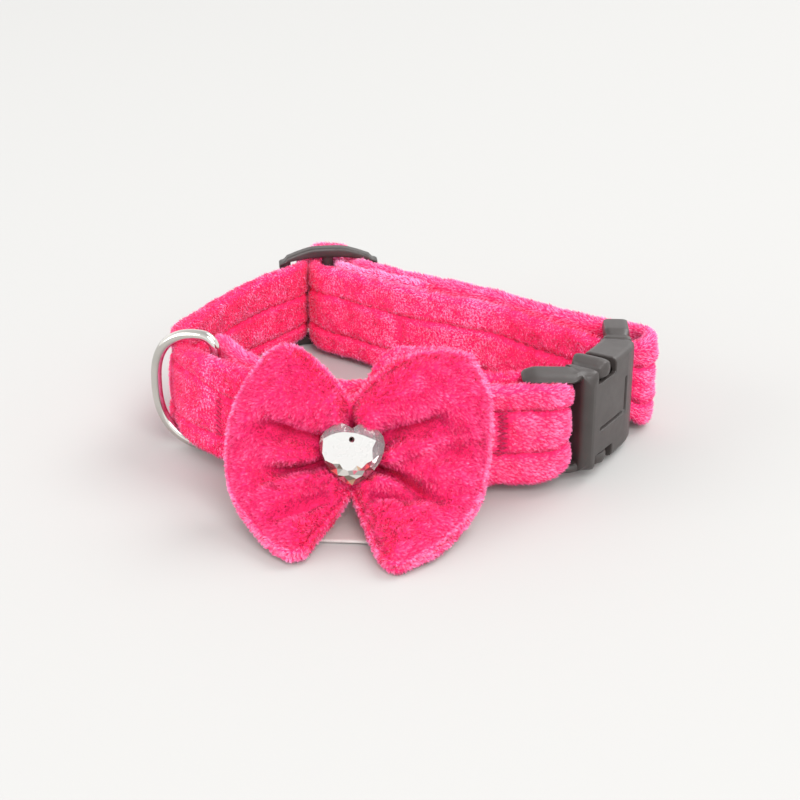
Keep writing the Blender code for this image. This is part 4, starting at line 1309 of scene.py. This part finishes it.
def female_shape(along, out, up):
    """The housing's moulded line is crisp, and its upper rail is a broad shell over the strap."""
    line = np.zeros_like(out)
    for start, end, low, high in MOULDED_LINE:
        depth = smooth_step((along - start) / LINE_SIDE) * smooth_step((end - along) / LINE_SIDE)
        depth = depth * smooth_step((up - low) / LINE_SIDE) * smooth_step((high - up) / LINE_SIDE)
        line = np.maximum(line, depth)
    line *= out > HOUSING_HALF - LINE_SKIN
    rail = smooth_step((RAIL_END - along) / RAIL_END_FADE)
    rail = rail * smooth_step((up - HOUSING_HIGH + RAIL_DEEP) / RAIL_FADE)
    tip = bell(along - TIP_MIDDLE, TIP_HALF)
    across = np.clip((out + RAIL_HALF) / (2 * RAIL_HALF), 0.0, 1.0)
    top = smooth_step((up - HOUSING_HIGH + RAIL_TOP) / RAIL_TOP_FADE)
    fall = rail * (RAIL_RISE - RAIL_FALL * across**2) * top - TIP_FALL * rail * tip * top
    wide = rail * np.where(out > 0, RAIL_OUTER, RAIL_INNER) * out * (1 - TIP_NARROW * tip)
    return -LINE_DEPTH * line + wide, fall


# The grips: half length, how far in from top and foot they reach, how far they swell up, down and
# out, and where their faces swell, out and up or down from the middle
GRIP_HALF, GRIP_EDGE, GRIP_FADE = 2.4, 2.6, 2.0
GRIP_UP, GRIP_DOWN, GRIP_OUT = 1.4, 0.3, 1.0
GRIP_SKIN, GRIP_SKIN_FADE, GRIP_AWAY = 2.0, 1.0, 8.4
# The tail's rails: where they start, their depth from the top, how far they rise and widen, and how
# far up or down from the middle they do
TAIL_START, TAIL_FADE, TAIL_DEEP, TAIL_DEEP_FADE = 38.4, 3.0, 1.4, 1.0
TAIL_RISE, TAIL_WIDER, TAIL_AWAY = 0.9, 0.24, 9.8


def male_shape(along, out, up):
    """The grips swell out of their windows, and the tail's rails are broad."""
    pad = bell(along - GRIP_MIDDLE, GRIP_HALF)
    from_middle = np.abs(up - HOUSING_MIDDLE)
    top = pad * smooth_step((up - HOUSING_HIGH + GRIP_EDGE) / GRIP_FADE)
    foot = pad * smooth_step((HOUSING_LOW + GRIP_EDGE - up) / GRIP_FADE)
    face = pad * smooth_step((np.abs(out) - GRIP_SKIN) / GRIP_SKIN_FADE) * (from_middle > GRIP_AWAY)
    tail = smooth_step((along - TAIL_START) / TAIL_FADE)
    high_tail = tail * smooth_step((up - HOUSING_HIGH + TAIL_DEEP) / TAIL_DEEP_FADE)
    more_out = GRIP_OUT * np.sign(out) * face + TAIL_WIDER * out * tail * (from_middle > TAIL_AWAY)
    return more_out, GRIP_UP * top - GRIP_DOWN * foot + TAIL_RISE * high_tail


# The slider's upper rail: heading, the height it starts at, its lift, its fall to both ends, half the
# length of its flat middle and the length of each slope
SLIDER_HEADING = math.radians(6)
SLIDER_FROM, SLIDER_FADE = 23.8, 2.4
SLIDER_LIFT, SLIDER_FALL, SLIDER_FLAT, SLIDER_SLOPE = 0.2, 1.5, 3.0, 9.0


def slider_shape(points):
    """The slider's upper rail arches down to both ends and thickens in its middle."""
    x, y = points[:, 0] - SLIDER_BAR[0], points[:, 1] - SLIDER_BAR[1]
    along = x * math.cos(SLIDER_HEADING) + y * math.sin(SLIDER_HEADING)
    top = smooth_step((points[:, 2] - SLIDER_FROM) / SLIDER_FADE)
    points = points.copy()
    points[:, 2] -= top * SLIDER_FALL * smooth_step((np.abs(along) - SLIDER_FLAT) / SLIDER_SLOPE)
    points[:, 2] += top * SLIDER_LIFT
    return points


RING_CORNER = 3.4
RING_OUT_POWER, RING_UP_POWER = 2.3, 2.5  # how square the ring's far end is
RING_SIDES = 20
# Angles in degrees round the bar's corner and round the far end
CORNER_TURN = np.linspace(180, 90, 9)
END_TURN = np.linspace(84, 0, 22)
STRAIGHT_POINTS = 6


def ring_outline():
    """Centre line of the D-ring as (outward, up) about the middle of its straight bar."""
    half = RING_HEIGHT / 2 - RING_WIRE
    depth = RING_DEPTH - 2 * RING_WIRE
    corner = RING_CORNER
    points = []
    for angle in np.radians(CORNER_TURN):
        points.append((corner + corner * math.cos(angle), half - corner + corner * math.sin(angle)))
    for angle in np.radians(END_TURN):
        out = corner + (depth - corner) * math.cos(angle) ** (2 / RING_OUT_POWER)
        points.append((out, half * math.sin(angle) ** (2 / RING_UP_POWER)))
    lower = [(out, -up) for out, up in reversed(points[:-1])]
    top = points[0][1]
    straight = [(0.0, up) for up in np.linspace(top - half * 2 + corner, top, STRAIGHT_POINTS)[1:-1]]
    return points + lower + straight


def make_ring(material):
    ahead = np.array([math.cos(RING_SWING), math.sin(RING_SWING), 0.0])
    foot = np.array([*RING_BAR, RING_BASE + RING_HEIGHT / 2])
    path = [foot + ahead * out + np.array([0, 0, up]) for out, up in ring_outline()]
    points, faces = tube_points(path, RING_WIRE, RING_SIDES, closed=True)
    return add_mesh("leash_ring_wire", points, faces, [material])


# ---------------------------------------------------------------- crystal
HEART_WIDTH = 13.8
HEART_HEIGHT = 13.4
HEART_THICK = 6.0
HEART_TILT = math.radians(20)
HEART_PLACE = np.array([BOW_X + 0.3, -64.7, 17.8])
HEART_HOLE = 0.62
HEART_HOLE_UP = 3.2
HOLE_SIDES = 12
HOLE_DEPTH = 4.0
GIRDLE_DEPTH = 1.9  # of the outline behind the table
FACET_DEPTH = 1.5  # of a facet's corner at the outline, and less further in
# The girdle and the pointed back. Columns: depth behind the front, size against the outline
HEART_LEVELS = [(GIRDLE_DEPTH, 1.0), (2.7, 1.0), (4.6, 0.66), (5.9, 0.26)]
# Small facets above the first or right of the second are clear, and the others have tones of painted
# reflection
CLEAR_ABOVE, CLEAR_RIGHT = 2.2, 4.6
TABLE_REFLECTION, CLEAR, GREY, BROWN, GOLD, PALE = range(6)
TONE_SHARES = [0.36, 0.26, 0.16, 0.22]  # how often grey, brown, gold and pale come
TOUCHING = 0.01
HEART_SEED = 5
CRYSTAL_GRAIN = 400.0
CRYSTAL_UNEVEN = 0.05  # how far the roughness varies
# Right half of the crystal's outline from its notch to its point, as shares of half its size
HEART_HALF = [
    (0.0, 0.80), (0.2, 0.93), (0.37, 0.97), (0.6, 0.88), (0.82, 0.73), (0.96, 0.53), (1.0, 0.30),
    (0.97, 0.04), (0.86, -0.26), (0.67, -0.53), (0.44, -0.77), (0.21, -0.93), (0.0, -1.0),
]
# The silvered table's edge, clockwise from its top left, as (across, up) from the middle
HEART_TABLE = [
    (-6.0, 3.3), (-4.6, 4.1), (-3.1, 4.6), (-1.7, 4.8), (0.6, 4.6), (2.4, 4.1), (5.1, 3.0),
    (4.3, 1.3), (4.4, -1.2), (3.1, -1.8), (2.1, -2.9), (1.0, -2.3), (0.1, -3.3), (-0.8, -3.4),
    (-1.9, -3.0), (-2.6, -1.9), (-3.6, -1.1), (-4.0, -1.9), (-5.6, -1.2), (-6.2, 0.3),
]
# Points where the small facets below and beside the table meet
HEART_INNER = [
    (-4.9, -2.4), (-3.2, -3.0), (-3.0, -4.4), (-1.7, -4.6), (-0.6, -4.4), (0.4, -4.3), (1.3, -3.4),
    (2.7, -3.4), (0.9, -5.2), (-0.9, -5.6), (2.2, -4.5), (3.8, -2.6), (5.5, 1.6), (5.4, -0.4),
    (4.9, 4.0), (2.6, 5.0), (0.4, 5.5), (-2.2, 5.4), (-4.6, 4.9),
]


def heart_materials():
    """Painted reflections: a light grey table and small mirror facets tinted grey, brown, gold and pale;
    and clear glass.
    """
    made = []
    # Columns: name, colour, metallic, roughness, transmission
    tones = (
        ("crystal_table_reflection", (0.50, 0.50, 0.488), 0.1, 0.25, 0.0),
        ("crystal_clear", (0.93, 0.80, 0.84), 0.0, 0.03, 0.82),
        ("crystal_grey", (0.42, 0.41, 0.39), 0.9, 0.08, 0.0),
        ("crystal_brown", (0.20, 0.155, 0.125), 0.8, 0.10, 0.0),
        ("crystal_gold", (0.74, 0.52, 0.34), 0.9, 0.08, 0.0),
        ("crystal_pale", (0.72, 0.70, 0.66), 0.9, 0.06, 0.0),
    )
    for name, colour, metallic, roughness, clear in tones:
        nodes = Nodes(name)
        nodes.set(Base_Color=(*colour, 1.0), Metallic=metallic, Transmission_Weight=clear, IOR=1.5)
        nodes.roughen((CRYSTAL_GRAIN,), roughness, roughness + CRYSTAL_UNEVEN)
        made.append(nodes.material)
    return made


def inside(place, polygon):
    """True if a place lies in a polygon."""
    x, y = place
    found = False
    for (ax, ay), (bx, by) in zip(polygon, polygon[1:] + polygon[:1]):
        if (ay > y) != (by > y) and x < (bx - ax) * (y - ay) / (by - ay) + ax:
            found = not found
    return found


def heart_point(across, up, depth):
    """A plan point of the crystal, so far behind its front."""
    forward = HEART_THICK / 2 - depth
    lift = up * math.cos(HEART_TILT) + forward * math.sin(HEART_TILT)
    back = up * math.sin(HEART_TILT) - forward * math.cos(HEART_TILT)
    return HEART_PLACE + np.array([across, back, lift])


def make_heart():
    """A faceted crystal: a table and broken tones below, both painted reflections, clear facets above, and
    a pointed back.
    """
    half = [(a * HEART_WIDTH / 2, u * HEART_HEIGHT / 2) for a, u in HEART_HALF]
    outline = half + [(-a, u) for a, u in reversed(half[1:-1])]
    turns = np.linspace(0, 2 * math.pi, HOLE_SIDES, endpoint=False)
    hole = [(HEART_HOLE * math.cos(t), HEART_HOLE_UP + HEART_HOLE * math.sin(t)) for t in turns]
    rims = [outline, HEART_TABLE, hole]
    flat = [Vector(place) for rim in rims for place in rim] + [Vector(place) for place in HEART_INNER]
    edges, start = [], 0
    for rim in rims:
        edges += [(start + k, start + (k + 1) % len(rim)) for k in range(len(rim))]
        start += len(rim)
    places, _, faces, _, _, _ = delaunay_2d_cdt(flat, edges, [], 0, 1e-5)
    places = [tuple(place) for place in places]
    rim_at = {tuple(round(v, 3) for v in place): k for k, place in enumerate(outline)}

    def depth_of(place):
        if tuple(round(v, 3) for v in place) in rim_at:
            return GIRDLE_DEPTH
        if inside(place, HEART_TABLE) or min(math.dist(place, spot) for spot in HEART_TABLE) < TOUCHING:
            return 0.0
        # facets slope down from the table to the girdle
        near = min(math.dist(place, spot) for spot in outline)
        return FACET_DEPTH / (1 + near)

    points = [heart_point(*place, depth_of(place)) for place in places]
    shapes, kinds = [], []
    rng = np.random.default_rng(HEART_SEED)
    for face in faces:
        middle = tuple(np.mean([places[k] for k in face], axis=0))
        if not inside(middle, outline) or inside(middle, hole):
            continue
        shapes.append(tuple(face))
        # the table's light grey is a painted reflection
        if inside(middle, HEART_TABLE):
            kinds.append(TABLE_REFLECTION)
        elif middle[1] > CLEAR_ABOVE or middle[0] > CLEAR_RIGHT:
            kinds.append(CLEAR)
        else:
            # the other small facets are mirrors tinted with painted reflections
            kinds.append(int(rng.choice([GREY, BROWN, GOLD, PALE], p=TONE_SHARES)))
    # girdle and pointed back
    start = len(points)
    for depth, size in HEART_LEVELS:
        points += [heart_point(a * size, u * size, depth) for a, u in outline]
    count = len(outline)
    for row in grid_faces(len(HEART_LEVELS), count, wrap=True):
        shapes.append(tuple(start + int(k) for k in row))
        kinds.append(CLEAR if row[0] < count else PALE)
    last = start + (len(HEART_LEVELS) - 1) * count
    shapes.append(tuple(last + k for k in range(count)))
    kinds.append(GREY)
    # the hole's wall, which stops short of the back
    wall = len(points)
    for depth in (0.0, HOLE_DEPTH):
        points += [heart_point(a, u, depth) for a, u in hole]
    for row in grid_faces(2, len(hole), wrap=True):
        shapes.append(tuple(wall + int(k) for k in row))
        kinds.append(CLEAR)
    made = add_mesh("faceted_heart", points, shapes, heart_materials(), smooth=False)
    made.data.polygons.foreach_set("material_index", kinds)
    face_outwards(made, join=1e-6)
    return made


# ---------------------------------------------------------------- label
# The ribbon's middle, from under the strap to its lower end. Columns: y, z
LABEL_ROUTE = [
    (-49.6, 9.0), (-49.6, 4.0), (-49.7, 1.9), (-50.7, 0.9), (-53.0, 0.6), (-62.0, 0.5), (-72.4, 0.5),
]
LABEL_STEPS = 8
LABEL_STEP = 0.8
LABEL_BENDS = 10  # most that it turns from one row to the next, in degrees
LABEL_COLUMNS = 41
LABEL_LEAVES, LABEL_FREE = -52.0, 8  # y where it leaves the strap, and how far on it lies freely
LABEL_APEX = -4.0  # x about which its upper part curves back on both sides
RIPPLE_HEIGHT, RIPPLE_RATE = 0.12, 0.5
LABEL_LOWEST = 0.08


def make_label(material):
    """A thin ribbon that follows the strap's curve and then lies on the table."""
    middle = even(spline(LABEL_ROUTE, LABEL_STEPS), LABEL_STEP, LABEL_BENDS)
    ahead = unit(np.gradient(middle, axis=0))
    across = np.linspace(0, LABEL_WIDTH, LABEL_COLUMNS)
    rows = []
    for (y, z), (dy, dz) in zip(middle, ahead):
        side = np.array([-dz, dy]) * LABEL_THICK / 2
        out = float(smooth_step((LABEL_LEAVES - y) / LABEL_FREE))
        for sign in (1, -1):
            for step in across if sign > 0 else across[::-1]:
                x = LABEL_LEFT + step
                skew = math.tan(LABEL_TURN) * (x - BOW_X) * out
                follow = LABEL_BEND * (x - LABEL_APEX) ** 2 * (1 - out)
                lift = RIPPLE_HEIGHT * math.sin(x * RIPPLE_RATE) * out
                height = max(z + side[1] * sign + lift, LABEL_LOWEST)
                rows.append((x, y + side[0] * sign + skew + follow, height))
    made = add_mesh("bare_label", rows, capped_faces(len(middle), 2 * len(across)), [material])
    face_outwards(made)
    length = float(np.linalg.norm(np.diff(middle, axis=0), axis=1).sum())
    return made, length


# ---------------------------------------------------------------- stage
# Columns: name, place and size in metres, power in watts
LAMPS = [
    ("key", (1.4, 0.9, 2.2), 1.6, 46),
    ("front", (0.8, -2.4, 2.2), 2.0, 82),
    ("left", (-2.4, -0.9, 0.9), 1.6, 30),
]
FLOOR_REACH = 3.0  # metres


def make_stage():
    made = Nodes("paper_floor")
    made.set(Base_Color=(0.466, 0.463, 0.454, 1.0), Roughness=0.95, Specular_IOR_Level=0.0)
    mesh = bpy.data.meshes.new("floor")
    corners = [(x * FLOOR_REACH, y * FLOOR_REACH, 0) for x, y in ((-1, -1), (1, -1), (1, 1), (-1, 1))]
    mesh.from_pydata(corners, [], [(0, 1, 2, 3)])
    mesh.materials.append(made.material)
    floor = show("floor", mesh)


def make_light(name, place, size, power):
    """A square lamp that looks at the plan's middle; metres and watts."""
    lamp = bpy.data.lights.new(name, "AREA")
    lamp.shape = "SQUARE"
    lamp.size = size
    lamp.energy = power
    made = show(name, lamp)
    made.location = place
    made.rotation_euler = (-Vector(place)).to_track_quat("-Z", "Y").to_euler()


def make_world():
    world = bpy.data.worlds.new("studio")
    world.use_nodes = True
    bpy.context.scene.world = world
    nodes, links = world.node_tree.nodes, world.node_tree.links
    back = nodes["Background"]
    place = nodes.new("ShaderNodeTexCoord")
    toward = nodes.new("ShaderNodeVectorMath")
    toward.operation = "DOT_PRODUCT"
    toward.inputs[1].default_value = (0.0, 0.0, 1.0)
    ramp = nodes.new("ShaderNodeValToRGB")
    links.new(place.outputs["Generated"], toward.inputs[0])
    links.new(toward.outputs["Value"], ramp.inputs["Fac"])
    links.new(ramp.outputs["Color"], back.inputs["Color"])
    # brightest towards the horizon, so upright faces get as much light as the floor
    stops = ((0.0, (1.0, 1.0, 1.0)), (0.4, (0.85, 0.85, 0.85)), (1.0, (0.5, 0.5, 0.5)))
    set_stops(ramp.color_ramp, stops)
    back.inputs["Strength"].default_value = 1.45


def make_camera():
    lens = bpy.data.cameras.new("camera")
    lens.lens = 74.25
    lens.sensor_width = 36.0
    lens.clip_start = 0.01
    camera = show("camera", lens)
    camera.location = (-0.001507, -0.356540, 0.175387)
    camera.rotation_euler = (math.radians(65), 0.0, 0.0)
    bpy.context.scene.camera = camera


# ---------------------------------------------------------------- assembly
def main():
    make_camera()
    make_stage()
    make_world()
    for lamp in LAMPS:
        make_light(*lamp)
    bpy.context.scene.view_settings.view_transform = "Standard"
    # light passes through pile many times before it leaves
    bpy.context.scene.cycles.diffuse_bounces = 12

    ground, pile = velvet_ground(), velvet_pile()
    plastic, metal, satin = moulded_plastic(), polished_metal(), satin_ribbon()

    strap = Strap()
    strap_skin = add_mesh("strap_velvet", strap.points, strap.faces, [ground])
    face_outwards(strap_skin)
    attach(strap_skin, "collar")
    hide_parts("strap")

    threads = make_threads(strap, thread_material())
    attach(threads, "collar")

    bow = Bow()
    bow_skin = add_mesh("bow_velvet", bow.points, bow.faces, [ground])
    face_outwards(bow_skin)
    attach(bow_skin, "collar")
    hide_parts("bow")

    hardware = []
    for name, node in (
        ("buckle_female_shell", "buckle_female"),
        ("buckle_male_shell", "buckle_male"),
        ("slider_frame", "slider"),
    ):
        shell = moulded(name, node, plastic)
        if node == "buckle_female":
            round_housing(shell)
            shape_buckle(shell, female_shape)
        elif node == "buckle_male":
            shape_buckle(shell, male_shape)
        else:
            move_points(shell, slider_shape(plan_points(shell)))
        lighten(shell)
        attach(shell, "collar")
        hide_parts(node)
        hardware.append(shell)
    ring = make_ring(metal)
    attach(ring, "leash_ring")
    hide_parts("d_ring")

    label, label_length = make_label(satin)
    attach(label, "collar")
    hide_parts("label")

    heart = make_heart()
    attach(heart, "collar")
    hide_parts("heart_crystal")
    # fibres keep clear of the other pieces, and of the ring at both ends of its swing
    meshes = [triangles_of(obj) for obj in (strap_skin, bow_skin, ring, label, heart, *hardware)]
    tree = solid_tree([*meshes, swung(ring, RING_LIMIT)])

    pile_strap(strap, strap_skin, pile, tree)
    pile_bow(bow, bow_skin, pile, tree)


main()
